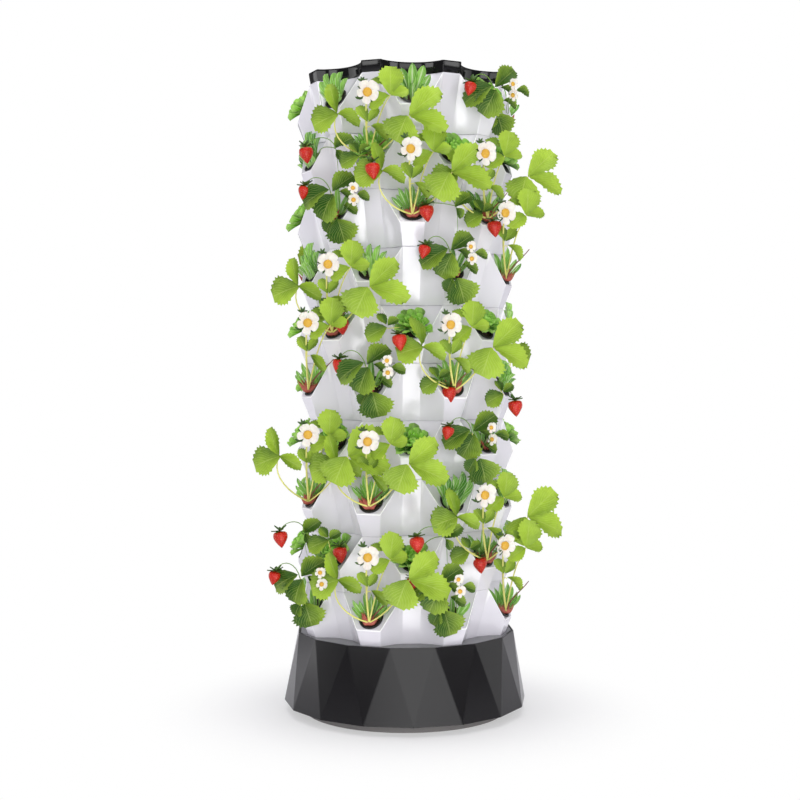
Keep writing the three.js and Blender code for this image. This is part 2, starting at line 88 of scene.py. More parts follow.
# The camera stands 3.67 degrees to the left of the front, level with the top of the fifth layer.
# Its focal length and its shift are in pixels of the picture.
azimuth, distance, height, tilt = math.radians(-3.673), 3224.8 * mm, 777.2 * mm, 0.019
picture, focal_length, shift, sensor = 800, 1390, -5.25, 36
lens = bpy.data.cameras.new("studio_camera")
lens.sensor_width, lens.lens, lens.clip_end = sensor, focal_length / picture * sensor, 50
lens.shift_x = shift / picture
camera = place("studio_camera", lens)
camera.location = (distance * math.sin(azimuth), -distance * math.cos(azimuth), height)
camera.rotation_euler = (math.pi / 2 - tilt, 0, azimuth)
bpy.context.scene.camera = camera
bpy.context.scene.view_settings.view_transform = "Standard"


def panel(name, at, aim, width, height, power, gloss_only=False):
    """A soft rectangular light that faces a point. One for gloss only adds highlights alone."""
    light = bpy.data.lights.new(name, "AREA")
    light.shape, light.size, light.size_y, light.energy = "RECTANGLE", width, height, power
    made = place(name, light)
    made.location = at
    made.rotation_euler = (Vector(aim) - Vector(at)).to_track_quat("-Z", "Y").to_euler()
    made.visible_camera, made.visible_diffuse = False, not gloss_only


panel("front_light", (0.35, -4.0, 1.15), (0, 0, 0.75), 4.0, 2.2, 78)
panel("near_strip", (0.12, -1.25, 0.01), (0.12, -1.249, 1.0), 0.75, 1.6, 13, gloss_only=True)
panel("far_strip", (0.15, -3.0, 0.01), (0.15, -2.999, 1.0), 1.4, 1.9, 30, gloss_only=True)
panel("left_strip", (-2.9, -3.2, 2.1), (0, 0, 0.9), 1.6, 1.8, 40, gloss_only=True)
panel("right_strip", (3.2, -2.9, 2.1), (0, 0, 0.9), 1.6, 1.8, 40, gloss_only=True)
panel("left_light", (-2.9, 0.9, 0.9), (0, 0, 0.7), 2.2, 1.9, 24)
panel("right_light", (2.9, 0.9, 0.9), (0, 0, 0.7), 2.2, 1.9, 14)
panel("top_light", (0, -0.6, 4.2), (0, 0, 0.6), 2.6, 2.6, 66)

floor_half = 9
floor_mesh = bpy.data.meshes.new("studio_floor")
floor_mesh.from_pydata([(x * floor_half, y * floor_half, 0) for x, y in (
    (-1, -1), (1, -1), (1, 1), (-1, 1))], [], [(0, 1, 2, 3)])
place("studio_floor", floor_mesh)

# The floor is paper white. Far from the tower it turns into the backdrop's own white.
paper = bpy.data.materials.new("studio_paper")
paper.use_nodes = True
tree = paper.node_tree
shader = tree.nodes["Principled BSDF"]
feed(tree, shader, {"Base Color": colour("#f2f2f2"), "Roughness": 0.85})
spot = add(tree, "ShaderNodeTexCoord").outputs["Object"]
reach = add(tree, "ShaderNodeVectorMath", {0: spot}, operation="LENGTH")
fade = add(tree, "ShaderNodeMapRange", {
    "Value": reach, "From Min": 0.27, "From Max": 0.62, "To Min": 0.45}, interpolation_type="SMOOTHSTEP")
glow = add(tree, "ShaderNodeEmission", {"Color": colour("#ffffff"), "Strength": 1.0})
seen = add(tree, "ShaderNodeLightPath")
share = add(tree, "ShaderNodeMath", {0: fade, 1: seen}, operation="MULTIPLY")
mixed = add(tree, "ShaderNodeMixShader", {0: share, 1: shader, 2: glow})
feed(tree, tree.nodes["Material Output"], {"Surface": mixed})
floor_mesh.materials.append(paper)

world = bpy.data.worlds.new("studio_world")
bpy.context.scene.world = world
world.use_nodes = True
tree = world.node_tree
tree.nodes.clear()
path = add(tree, "ShaderNodeLightPath")
fill, dim, white = [add(tree, "ShaderNodeBackground", {"Color": colour(code), "Strength": power})
                    for code, power in (("#f7f4ff", 0.6), ("#ffffff", 0.16), ("#ffffff", 1.0))]
mirrored = add(tree, "ShaderNodeMixShader", {0: path.outputs["Is Glossy Ray"], 1: fill, 2: dim})
backdrop = add(tree, "ShaderNodeMixShader", {0: path.outputs["Is Camera Ray"], 1: mirrored, 2: white})
add(tree, "ShaderNodeOutputWorld", {"Surface": backdrop})

# Planter layers
# Ten like mouldings of white ABS, 3.5 mm thick, injection moulded and stacked, each turned half a
# pocket from the one below. A raised rim runs round each pocket, and the planting plate inside it
# lies a little deeper and has a round hole for the net cup.
pockets, layers = 8, 10
sector = math.tau / pockets
pitch, layer_height, first_foot = 125.6 * mm, 125.3 * mm, 172 * mm
# The seams' outline: the ribs' flats and the bottom of the scallops between them
flat, flat_half, valley = 229 * mm, 20.9 * mm, 190 * mm
# The lips, and where the mouth's sides meet the scallop of the seam above, as a share of its half
lip, lip_half, lip_height, narrow = 248 * mm, 27.4 * mm, 50 * mm, 0.26
# The inside as a share of the outside, and the width of the painted highlight line on a rim
wall_share, highlight_line_width = 225.5 / 229, 1.3 * mm
# The planting plate: its slope, how much deeper than the rim it lies and where that has faded out
plate_tilt, plate_depth, plate_fade = math.radians(36.6), 1.9 * mm, 22 * mm
cup_place, cup_height, cup_radius = 229.5 * mm, 74.9 * mm, 24.5 * mm
tabs, tab_place, tab_drop, tab_size = 4, 221.3 * mm, 4 * mm, (22 * mm, 5 * mm, 24 * mm)
crisp = 10  # degrees, above which a layer's edge stays sharp


def polar(azimuth, distance, side=0.0, z=0.0):
    """A point at an azimuth (0 at the front, towards +X), moved sideways square to it."""
    return Vector((distance * math.sin(azimuth) + side * math.cos(azimuth),
                   -distance * math.cos(azimuth) + side * math.sin(azimuth), z))


corner_side = flat * math.sin(sector / 2) - flat_half * math.cos(sector / 2)
corner_out = flat * math.cos(sector / 2) + flat_half * math.sin(sector / 2)
scallop_radius = (corner_side ** 2 + (corner_out - valley) ** 2) / (2 * (corner_out - valley))
scallop_angle = math.asin(corner_side / scallop_radius)


def scallop(azimuth, share, z, inset=0.0):
    """A point of the scallop at an azimuth, from its bottom (share 0) to a corner (share 1 or -1)."""
    angle = share * scallop_angle
    out = valley + scallop_radius * (1 - math.cos(angle))
    return polar(azimuth, out, scallop_radius * math.sin(angle) - math.copysign(inset, share), z)


def layer_column(pocket, hand, t):
    """Foot, mouth and top of a layer in one column, from a pocket's lip (t 0) to the rib beside
    it (t 1). Below 0 and above 1 the column stands on the flat of the lip or of the rib, an edge's
    width from its corner."""
    edge = 1.1 * mm
    rib = pocket + hand * sector / 2
    if t < 0:
        return (polar(pocket, flat, hand * (flat_half - edge)),
                polar(pocket, lip, hand * (lip_half - edge), lip_height),
                scallop(pocket, hand * narrow, layer_height, edge))
    if t > 1:
        tip = polar(rib, flat, -hand * (flat_half - edge), layer_height)
        return scallop(rib, -hand * narrow, 0, edge), tip, tip
    lip_corner = polar(pocket, lip, hand * lip_half, lip_height)
    rib_corner = polar(rib, flat, -hand * flat_half, layer_height)
    return (scallop(rib, -hand * (1 - (1 - narrow) * t), 0), lip_corner.lerp(rib_corner, t),
            scallop(pocket, hand * (narrow + (1 - narrow) * t), layer_height))


def moved_in(point, step):
    return point - Vector((point.x, point.y, 0)).normalized() * step


def layer_rows(pocket, hand, t):
    """The points of one column, all the way round the wall's section. The mouth's edge is rounded
    in steps, and the planting plate lies deeper than the rim. Both fade out where the plate ends."""
    foot, mouth, top = layer_column(pocket, hand, t)
    up = (mouth - foot).normalized()
    slope = top - mouth
    run = slope.length
    inner = [Vector((p.x * wall_share, p.y * wall_share, p.z)) for p in (foot, mouth, top)]
    chamfer_in, chamfer_up, steps, low, high = 0.7 * mm, 0.9 * mm, 6, 0.35, 0.7
    rows = [inner[0], moved_in(foot, chamfer_in), foot + up * chamfer_up, foot.lerp(mouth, low),
            foot.lerp(mouth, high)]
    if run < 0.1 * mm:
        rows += [mouth - up * chamfer_up] + [moved_in(mouth, chamfer_in)] * (steps + 6)
    else:
        slope.normalize()
        deeper = polar(pocket, -math.cos(plate_tilt), 0, -math.sin(plate_tilt))
        deeper *= plate_depth * min(1, run / plate_fade)
        edge, rim = min(2.2 * mm, 0.25 * run), min(3.8 * mm, 0.38 * run)  # the rounding and the rim
        rows.append(mouth - up * (edge + 0.5 * mm))
        for k in (i / steps for i in range(steps + 1)):
            rows.append(mouth - up * edge * (1 - k) ** 2 + slope * edge * k * k)
        plate = mouth + slope * min(rim + 0.9 * mm, 0.5 * run) + deeper
        rows += [mouth + slope * rim, plate, plate.lerp(top + deeper, low),
                 plate.lerp(top + deeper, high), top + deeper]
    return rows + [inner[2], inner[1]]


def mesh_of(name, made):
    """A mesh of what was built, which is then freed."""
    mesh = bpy.data.meshes.new(name)
    made.to_mesh(mesh)
    made.free()
    return mesh


def baked(carrier):
    """The plain mesh of an object with its modifiers applied. The object is then removed."""
    mesh = bpy.data.meshes.new_from_object(
        carrier.evaluated_get(bpy.context.evaluated_depsgraph_get()))
    bpy.data.objects.remove(carrier)
    return mesh


def eased_box(made, matrix, ease, steps):
    """Adds a box of the matrix's size and place with rounded edges."""
    box = bmesh.ops.create_cube(made, size=1, matrix=matrix)
    edges = {e for v in box["verts"] for e in v.link_edges}
    bmesh.ops.bevel(made, geom=list(edges), offset=ease, segments=steps, affect="EDGES")


def loft(name, rings, shade, shell=False):
    """A mesh from rings of points that run the same way. A shell closes on itself, and any other
    loft closes with a face at each end. Edges sharper than shade degrees stay crisp."""
    made = bmesh.new()
    rings = [[made.verts.new(p) for p in ring] for ring in rings]
    pairs = list(zip(rings, rings[1:])) + ([(rings[-1], rings[0])] if shell else [])
    for low, high in pairs:
        for i in range(len(low)):
            j = (i + 1) % len(low)
            made.faces.new((low[i], low[j], high[j], high[i]))
    if not shell:
        made.faces.new(rings[0][::-1])
        made.faces.new(rings[-1])
    bmesh.ops.remove_doubles(made, verts=made.verts, dist=0.01 * mm)
    bmesh.ops.dissolve_degenerate(made, edges=made.edges, dist=0.01 * mm)
    bmesh.ops.recalc_face_normals(made, faces=made.faces)
    mesh = mesh_of(name, made)
    mesh.shade_smooth()
    mesh.set_sharp_from_angle(angle=math.radians(shade))
    return mesh


def from_line(point, a, b):
    """How far a point is from the straight line between two others."""
    along = max(0, min(1, (point - a).dot(b - a) / (b - a).length_squared))
    return (point - a - (b - a) * along).length


def layer_shape():
    """One layer, with its net-cup holes and the four tabs that locate the next layer. The rim
    attribute is 1 along the straight edges of the mouths, where a brighter white is painted as a
    highlight."""
    shares = [-1, 0.03, 0.14, 0.28, 0.42, 0.56, 0.7, 0.84, 0.95, 2]
    columns = []
    for k in range(pockets):
        columns += [layer_rows(k * sector, -1, t) for t in reversed(shares)]
        columns += [layer_rows(k * sector, 1, t) for t in shares]
    mesh = loft("planter_layer_shape", [list(ring) for ring in zip(*columns)], crisp, shell=True)
    drills = bmesh.new()
    for k in range(pockets):
        bmesh.ops.create_cone(drills, segments=40, radius1=cup_radius, radius2=cup_radius,
                              depth=26 * mm, cap_ends=True, matrix=cup_matrix(k * sector))
    body, drill = place("layer_body", mesh), place("layer_drill", mesh_of("drills", drills))
    cut = body.modifiers.new("cup_holes", "BOOLEAN")
    cut.operation, cut.solver, cut.object = "DIFFERENCE", "EXACT", drill
    cut_mesh = baked(body)
    bpy.data.objects.remove(drill)
    made = bmesh.new()
    made.from_mesh(cut_mesh)
    for k in range(tabs):
        azimuth = sector / 2 + k * math.tau / tabs
        at = polar(azimuth, tab_place, 0, layer_height - tab_drop)
        turn = Matrix.Rotation(azimuth, 4, "Z")
        eased_box(made, Matrix.Translation(at) @ turn @ Matrix.Diagonal((*tab_size, 1)),
                  ease=0.8 * mm, steps=2)
    made.to_mesh(cut_mesh)
    made.free()
    cut_mesh.set_sharp_from_angle(angle=math.radians(crisp))
    # Marks the painted highlight line along the three straight edges of each mouth.
    lines = []
    for k in range(pockets):
        left, right = (polar(k * sector, lip, hand * lip_half, lip_height) for hand in (-1, 1))
        lines += [(left, right), (left, polar((k - 0.5) * sector, flat, flat_half, layer_height)),
                  (right, polar((k + 0.5) * sector, flat, -flat_half, layer_height))]
    rim = [float(min(from_line(vert.co, *line) for line in lines) < highlight_line_width)
           for vert in cut_mesh.vertices]
    cut_mesh.attributes.new("rim", "FLOAT", "POINT").data.foreach_set("value", rim)
    return cut_mesh


def cup_matrix(azimuth, foot=0.0):
    """Puts +Z on the planting plate's outward normal at the middle of a pocket's cup, and +Y up
    the plate's slope."""
    out = polar(azimuth, math.cos(plate_tilt), 0, math.sin(plate_tilt))
    slope = polar(azimuth, -math.sin(plate_tilt), 0, math.cos(plate_tilt))
    axes = Matrix((slope.cross(out), slope, out)).transposed().to_4x4()
    return Matrix.Translation(polar(azimuth, cup_place, 0, cup_height + foot)) @ axes


def node_group(name, inputs):
    """An empty Geometry Nodes tree with a geometry input and output and the named inputs."""
    group = bpy.data.node_groups.new(name, "GeometryNodeTree")
    for label, kind in [("Geometry", "Geometry")] + inputs:
        group.interface.new_socket(name=label, in_out="INPUT", socket_type=f"NodeSocket{kind}")
    group.interface.new_socket(name="Geometry", in_out="OUTPUT", socket_type="NodeSocketGeometry")
    return group, add(group, "NodeGroupInput").outputs


def finish_group(group, geometry, material):
    """Ends a tree in Realize Instances and Set Material."""
    real = add(group, "GeometryNodeRealizeInstances", {"Geometry": geometry})
    painted = add(group, "GeometryNodeSetMaterial", {"Geometry": real, "Material": material})
    add(group, "NodeGroupOutput", {"Geometry": painted})


def grown(name, mesh, group, **values):
    """The plain mesh that a Geometry Nodes tree makes of a mesh, with the inputs given by name. An
    input that is a mesh stands in the scene for as long as that takes."""
    helpers = {key: place(f"{name}_{key}", value) for key, value in values.items()
               if isinstance(value, bpy.types.Mesh)}
    values |= helpers
    carrier = place(name, mesh)
    modifier = carrier.modifiers.new(name, "NODES")
    modifier.node_group = group
    for item in group.interface.items_tree:
        label = item.name.lower().replace(" ", "_")
        if item.in_out == "INPUT" and label in values:
            modifier[item.identifier] = values[label]
    made = baked(carrier)
    made.name = name
    for helper in helpers.values():
        bpy.data.objects.remove(helper)
    return made


def new_material(name, rough, metal=0.0):
    """A material with a Principled shader, and its tree, shader and object coordinates."""
    material = bpy.data.materials.new(name)
    material.use_nodes = True
    tree = material.node_tree
    shader = tree.nodes["Principled BSDF"]
    feed(tree, shader, {"Roughness": rough, "Metallic": metal})
    return material, tree, shader, add(tree, "ShaderNodeTexCoord").outputs["Object"]


def moulded(name, code, rough, spread, size, depth, mirror=0.5):
    """Moulded plastic: an even colour, gloss that varies by spread in patches of a size, the
    mould's fine texture of a depth, both in millimetres, and how strongly its gloss mirrors. The
    real texture, about 0.2 mm, is too fine to show, so it is drawn four times as coarse."""
    texture = 0.8 * mm
    material, tree, shader, spot = new_material(name, rough)
    patches = add(tree, "ShaderNodeTexNoise", {"Vector": spot, "Scale": 1 / (size * mm), "Detail": 3})
    gloss = add(tree, "ShaderNodeMapRange",
                {"Value": patches, "To Min": rough - spread, "To Max": rough + spread})
    grain = add(tree, "ShaderNodeTexNoise", {"Vector": spot, "Scale": 1 / texture})
    bump = add(tree, "ShaderNodeBump", {"Height": grain, "Distance": depth * mm, "Strength": 0.6})
    feed(tree, shader, {"Base Color": colour(code), "Specular IOR Level": mirror,
                        "Roughness": gloss, "Normal": bump})
    return material


def dressed(name, mesh, material, body, slot, *nodes):
    """Puts a finished mesh in the scene: its material, the body it rides and what it replaces."""
    mesh.materials.clear()
    mesh.materials.append(material)
    made = place(name, mesh)
    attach(made, body)
    if nodes:
        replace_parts(made, *nodes)


# Polished white ABS: strong enough reflections that the hollow walls read as bright strips between
# grey flanks, over a body that isn't quite white.
wall_white, painted_highlight_white = "#e3e1e7", "#ffffff"
white_abs = moulded("white_abs", wall_white, rough=0.17, spread=0.03, size=40, depth=0.01, mirror=1.0)
tree = white_abs.node_tree
# A brighter white is painted along the pockets' rims as a highlight line.
rim = add(tree, "ShaderNodeAttribute", attribute_name="rim").outputs["Fac"]
tint = add(tree, "ShaderNodeMix", {0: rim, 6: colour(wall_white), 7: colour(painted_highlight_white)}, data_type="RGBA")
feed(tree, tree.nodes["Principled BSDF"], {"Base Color": tint})

group, given = node_group("stacked_layers", [
    ("Count", "Int"), ("First Height", "Float"), ("Pitch", "Float"), ("Half Turn", "Float"),
    ("Material", "Material")])
start = add(group, "ShaderNodeCombineXYZ", {"Z": given["First Height"]})
step = add(group, "ShaderNodeCombineXYZ", {"Z": given["Pitch"]})
line = add(group, "GeometryNodeMeshLine",
           {"Count": given["Count"], "Start Location": start, "Offset": step})
index = add(group, "GeometryNodeInputIndex")
odd = add(group, "ShaderNodeMath", {0: index, 1: 2.0}, operation="MODULO")
turned_back = add(group, "ShaderNodeMath", {0: 1.0, 1: odd}, operation="SUBTRACT")
angle = add(group, "ShaderNodeMath", {0: turned_back, 1: given["Half Turn"]}, operation="MULTIPLY")
spin = add(group, "ShaderNodeCombineXYZ", {"Z": angle})
stack = add(group, "GeometryNodeInstanceOnPoints",
            {"Points": line, "Instance": given["Geometry"], "Rotation": spin})
finish_group(group, stack, given["Material"])
stacked = grown("planter_layers", layer_shape(), group, count=layers, first_height=first_foot,
                pitch=pitch, half_turn=sector / 2, material=white_abs)
dressed("planter_layers", stacked, white_abs, "tower", "white_plastic",
        *[f"planter_layer_{n:02d}" for n in range(1, layers + 1)])

# Reservoir
# A blow-moulded charcoal tank whose wall is folded into 32 triangles, with a matt deck let into
# its rim, on a ring painted a light grey. The tower's lowest layer stands in the deck's socket.
facets, tank_foot, tank_rim, tank_low, tank_high = 16, 280 * mm, 251 * mm, 22 * mm, 187 * mm


def tank_ring(radius, offset, z):
    return [polar((i + offset) * math.tau / facets, radius, 0, z) for i in range(facets)]


def tank_shape():
    """Outer triangles, a flat rim and inner triangles, with the folds eased by a small bevel."""
    made = bmesh.new()
    wall = 5 * mm
    levels = [(tank_foot, 0, tank_low), (tank_rim, 0.5, tank_high),
              (tank_rim - wall, 0.5, tank_high), (tank_foot - wall, 0, tank_low + wall)]
    foot, rim, rim_in, foot_in = [[made.verts.new(p) for p in tank_ring(*level)] for level in levels]
    for i in range(facets):
        j = (i + 1) % facets
        for corners in ((foot[i], foot[j], rim[i]), (foot[j], rim[j], rim[i]),
                        (rim[i], rim[j], rim_in[j], rim_in[i]),
                        (rim_in[i], foot_in[j], foot_in[i]), (rim_in[i], rim_in[j], foot_in[j])):
            made.faces.new(corners)
    made.faces.new(foot[::-1])
    made.faces.new(foot_in)
    bmesh.ops.recalc_face_normals(made, faces=made.faces)
    folds = [e for e in made.edges if e.calc_face_angle(0) > math.radians(4)]
    bmesh.ops.bevel(made, geom=folds, offset=0.9 * mm, segments=2, affect="EDGES", clamp_overlap=True)
    return mesh_of("reservoir_tank_shape", made)


# Charcoal polypropylene with a satin face, so that each facet holds one even reflection.
charcoal = moulded("charcoal_polypropylene", "#171618", rough=0.17, spread=0.02, size=60,
                   depth=0.008, mirror=0.3)
dressed("tank", tank_shape(), charcoal, "tower", "tank_plastic", "reservoir_tank")


def carried(material, *nodes):
    """Gives CAD nodes that stay in view their material."""
    for node in nodes:
        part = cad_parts[node]
        part.data.materials.clear()
        part.data.materials.append(material)


# The deck is matt and a little lighter than the tank.
deck_grey = moulded("grey_polypropylene", "#87878a", rough=0.55, spread=0.05, size=30, depth=0.04)
carried(deck_grey, "reservoir_deck")


def turned(name, profile, segments=96, shell=True, foot=0.0):
    """A ring turned about +Z on a foot from a profile of radius and height in millimetres, or a
    solid if it isn't a shell."""
    rings = [[polar(i * math.tau / segments, r * mm, 0, z * mm + foot) for i in range(segments)]
             for r, z in profile]
    return loft(name, rings, shade=35, shell=shell)


# The ring is painted a lighter grey to stand in for the floor's light that it catches in the shade under
# the tank, so it reads as a light band between the dark tank and its own shadow.
ring_painted_lighter = moulded("grey_ring_polypropylene", "#8d8a88", rough=0.45, spread=0.05, size=20, depth=0.03)
foot_profile = [(208, 0.8), (208.8, 0), (233.2, 0), (234, 0.8), (234, 20.9), (233.2, 21.7),
                (208.8, 21.7), (208, 20.9)]
dressed("foot_ring_turned", turned("foot_ring_turned", foot_profile), ring_painted_lighter, "tower",
        "foot_plastic", "foot_ring")

# Fill cap
# A push-in polypropylene cap with a finger grip, in the deck behind the tower. Its plug has a lead-in
# and its flange a rounded edge.
cap_at, cap_seat = 222 * mm, 187.3 * mm
cap_profile = [(9.7, -8), (10.7, -7), (10.7, 0), (14.2, 0), (15, 0.8), (15, 3.2), (14.2, 4)]
grip_size = (20 * mm, 4 * mm, 6 * mm)
made = bmesh.new()
made.from_mesh(turned("cap_turned", cap_profile, segments=48, shell=False, foot=cap_seat))
eased_box(made, Matrix.Translation((0, 0, cap_seat + grip_size[2])) @ Matrix.Diagonal((*grip_size, 1)),
          ease=1 * mm, steps=3)
bmesh.ops.translate(made, verts=made.verts, vec=(0, cap_at, 0))
# Black polypropylene with a slight sheen from handling.
cap_black = moulded("black_polypropylene", "#1d1d1f", rough=0.4, spread=0.06, size=20, depth=0.03)
dressed("cap", mesh_of("fill_cap_shape", made), cap_black, "cap", "cap_plastic", "fill_cap")

# Pump and riser
# A small submersible pump with a ground steel shaft stands on rubber pads in the tank. White pipe
# sections carry the water to a distributor on the drip tray under the lid.
# Textured black ABS looks dull, and a little grey where light grazes it.
pump_black = moulded("pump_housing_abs", "#232527", rough=0.48, spread=0.05, size=10, depth=0.03)
carried(pump_black, "pump_housing", "pump_strainer")
# Rubber is flat and dark, without a highlight.
rubber, tree, shader, spot = new_material("rubber", 0.85)
wear = add(tree, "ShaderNodeTexNoise", {"Vector": spot, "Scale": 1 / (3 * mm)})
bump = add(tree, "ShaderNodeBump", {"Height": wear, "Distance": 0.1 * mm})
feed(tree, shader, {"Base Color": colour("#161616"), "Normal": bump})
carried(rubber, "pump_foot_front_left", "pump_foot_front_right", "pump_foot_rear_left",
        "pump_foot_rear_right", "pump_cable_gland")
# Fine rings left by grinding draw the highlight out along the shaft.
steel, tree, shader, spot = new_material("ground_steel", 0.28, 1.0)
stretched = add(tree, "ShaderNodeMapping", {"Vector": spot, "Scale": (1, 40, 1)})
lines = add(tree, "ShaderNodeTexNoise", {"Vector": stretched, "Scale": 1 / (4 * mm)})
bump = add(tree, "ShaderNodeBump", {"Height": lines, "Distance": 0.01 * mm})
feed(tree, shader, {"Base Color": colour("#c3c7ca"), "Normal": bump})
carried(steel, "pump_shaft")
# Extruded white PVC is smooth, with a soft gloss.
pipe_white = moulded("white_pipe_pvc", "#eef0f1", rough=0.3, spread=0.04, size=25, depth=0.01)
carried(pipe_white, "pump_impeller", "riser_pipe_1", "riser_pipe_2", "riser_pipe_3",
        "riser_sleeve_1", "riser_sleeve_2", "water_distributor", "drip_tray")

# Lid
# A gloss black ABS cover with the tower's scalloped outline, 26 mm high, that lifts off. Its skirt
# leans out to a brim, and the brim is rounded over to the flat top.
lid_foot = 1428 * mm


def lid_ring(distance, z):
    """The lid's outline, whose flats lie over the ribs of the top layer, with its corners eased."""
    points, ease, steps = [], 1.2 * mm, 7
    for k in range(1, pockets + 1):
        hollow = [scallop(k * sector, i / steps, z) for i in range(1 - steps, steps)]
        ends = [scallop(k * sector, hand, z, ease) for hand in (-1, 1)]
        rib = [polar((k + 0.5) * sector, flat, side * (flat_half - ease), z) for side in (-1, 1)]
        points += [ends[0], *hollow, ends[1], *rib]
    return [Vector((p.x * distance / flat, p.y * distance / flat, z)) for p in points]


# From the middle of the underside out to the skirt's foot, up its face and back to the middle
lid_rings = [(30, 23.4), (120, 23.4), (200, 23.2), (227.2, 21.5), (224.3, 0), (226.9, 0),
             (227.5, 0.8), (229.5, 10), (231.4, 22), (231.4, 23.4), (230.6, 25), (228.8, 26),
             (200, 26), (120, 26), (30, 26)]
# Deep gloss with a slight waviness from the mould, so the flats mirror in broad bands.
gloss_black = moulded("gloss_black_abs", "#0f0f11", rough=0.1, spread=0.02, size=50,
                      depth=0.006, mirror=0.35)
lid_mesh = loft("lid_shape", [lid_ring(d * mm, lid_foot + z * mm) for d, z in lid_rings],
                shade=28)
dressed("lid_cover", lid_mesh, gloss_black, "lid", "lid_plastic", "top_lid")

# Net cups
# Black polypropylene baskets 46 mm deep that drop into the plates' holes and hang by their flange,
# with ribbed, open sides for the roots. Fired clay pebbles fill them to just under the rim.
group, given = node_group("placed_copies", [("Places", "Object"), ("Material", "Material")])
spots = add(group, "GeometryNodeObjectInfo", {"Object": given["Places"]}).outputs["Geometry"]
turn = add(group, "GeometryNodeInputNamedAttribute", {"Name": "turn"}, data_type="FLOAT_VECTOR")
scale = add(group, "GeometryNodeInputNamedAttribute", {"Name": "size"}, data_type="FLOAT_VECTOR")
set_out = add(group, "GeometryNodeInstanceOnPoints", {
    "Points": spots, "Instance": given["Geometry"], "Rotation": turn, "Scale": scale})
finish_group(group, set_out, given["Material"])
placed_copies = group


def copies(name, shape, matrices, material, tones=None):
    """A mesh of a shape that is set out at the matrices. Each copy keeps its tone as an attribute."""
    points = bpy.data.meshes.new(f"{name}_places")
    parts = [m.decompose() for m in matrices]
    points.from_pydata([at for at, _, _ in parts], [], [])
    for label, values in (("turn", [turn.to_euler() for _, turn, _ in parts]),
                          ("size", [size for _, _, size in parts])):
        attribute = points.attributes.new(label, "FLOAT_VECTOR", "POINT")
        attribute.data.foreach_set("vector", [v for value in values for v in value])
    tone = points.attributes.new("tone", "FLOAT", "POINT")
    tone.data.foreach_set("value", tones or [0.0] * len(parts))
    return grown(name, shape.copy(), placed_copies, places=points, material=material)


def basket_shape():
    """A flange and a band, then ribs that run down to the foot ring."""
    made, ribs = bmesh.new(), 12
    band = [(22.6, -10), (23.9, -10), (24.3, -0.2), (27, -0.2), (27.6, 0.5), (27.4, 1.6), (26.6, 2),
            (23.6, 2), (22.9, 0.6)]
    foot = [(14, -46), (17, -46), (17.4, -43), (14, -43)]
    made.from_mesh(turned("cup_band", band, segments=40))
    made.from_mesh(turned("cup_foot", foot, segments=24))
    at, lean = Matrix.Translation((20 * mm, 0, -27 * mm)), Matrix.Rotation(math.atan2(6.4, 36), 4, "Y")
    rib = Matrix.Diagonal((1.4 * mm, 3 * mm, 37 * mm, 1))
    for k in range(ribs):
        spin = Matrix.Rotation(k * math.tau / ribs, 4, "Z")
        bmesh.ops.create_cube(made, size=1, matrix=spin @ at @ lean @ rib)
    return mesh_of("net_cup_shape", made)


def pocket_at(layer, degrees):
    """The matrix of a pocket's cup: +Z out of its mouth, +Y up the planting plate."""
    return cup_matrix(math.radians(degrees), first_foot + (layer - 1) * pitch)


# Each pocket's layer and azimuth in degrees
all_pockets = [(n, (k + n % 2 / 2) * 360 / pockets) for n in range(1, layers + 1) for k in range(-3, 5)]
# Carbon-black polypropylene, matt enough to read as a dark crescent under the leaves.
cup_black = moulded("cup_polypropylene", "#151516", rough=0.42, spread=0.05, size=12, depth=0.02)
cup_rise = 0.3 * mm
cup_mesh = copies("net_cups", basket_shape(), [
    pocket_at(*at) @ Matrix.Translation((0, 0, cup_rise)) for at in all_pockets], cup_black)
dressed("net_cups", cup_mesh, cup_black, "tower", "cap_plastic")

group, given = node_group("clay_pebbles", [
    ("Pebble", "Object"), ("Distance", "Float"), ("Seed", "Int"), ("Material", "Material")])
scattered = add(group, "GeometryNodeDistributePointsOnFaces", {
    "Mesh": given["Geometry"], "Distance Min": given["Distance"], "Density Max": 90000.0,
    "Seed": given["Seed"]}, distribute_method="POISSON")
pebble = add(group, "GeometryNodeObjectInfo", {"Object": given["Pebble"]}).outputs["Geometry"]
spin = add(group, "FunctionNodeRandomValue",
           {"Max": (math.tau, math.tau, math.tau), "Seed": given["Seed"]}, data_type="FLOAT_VECTOR")
swell = add(group, "FunctionNodeRandomValue",
            {"Min": (0.8, 0.7, 0.7), "Max": (1.3, 1.1, 1.0), "Seed": 4}, data_type="FLOAT_VECTOR")
strewn = add(group, "GeometryNodeInstanceOnPoints", {
    "Points": scattered, "Instance": pebble, "Rotation": spin, "Scale": swell})
ground = add(group, "GeometryNodeJoinGeometry", {"Geometry": strewn})
feed(group, ground, {"Geometry": given["Geometry"]})
finish_group(group, ground, given["Material"])

# Fired clay is dull brown, darker where it is wet.
clay, tree, shader, spot = new_material("fired_clay", 0.8)
wet = add(tree, "ShaderNodeTexNoise", {"Vector": spot, "Scale": 1 / (9 * mm)})
tint = add(tree, "ShaderNodeMix", {0: wet, 6: colour("#1a110b"), 7: colour("#4c3323")}, data_type="RGBA")
pores = add(tree, "ShaderNodeTexNoise", {"Vector": spot, "Scale": 1 / (0.7 * mm)})
bump = add(tree, "ShaderNodeBump", {"Height": pores, "Distance": 0.3 * mm})
feed(tree, shader, {"Base Color": tint, "Normal": bump})

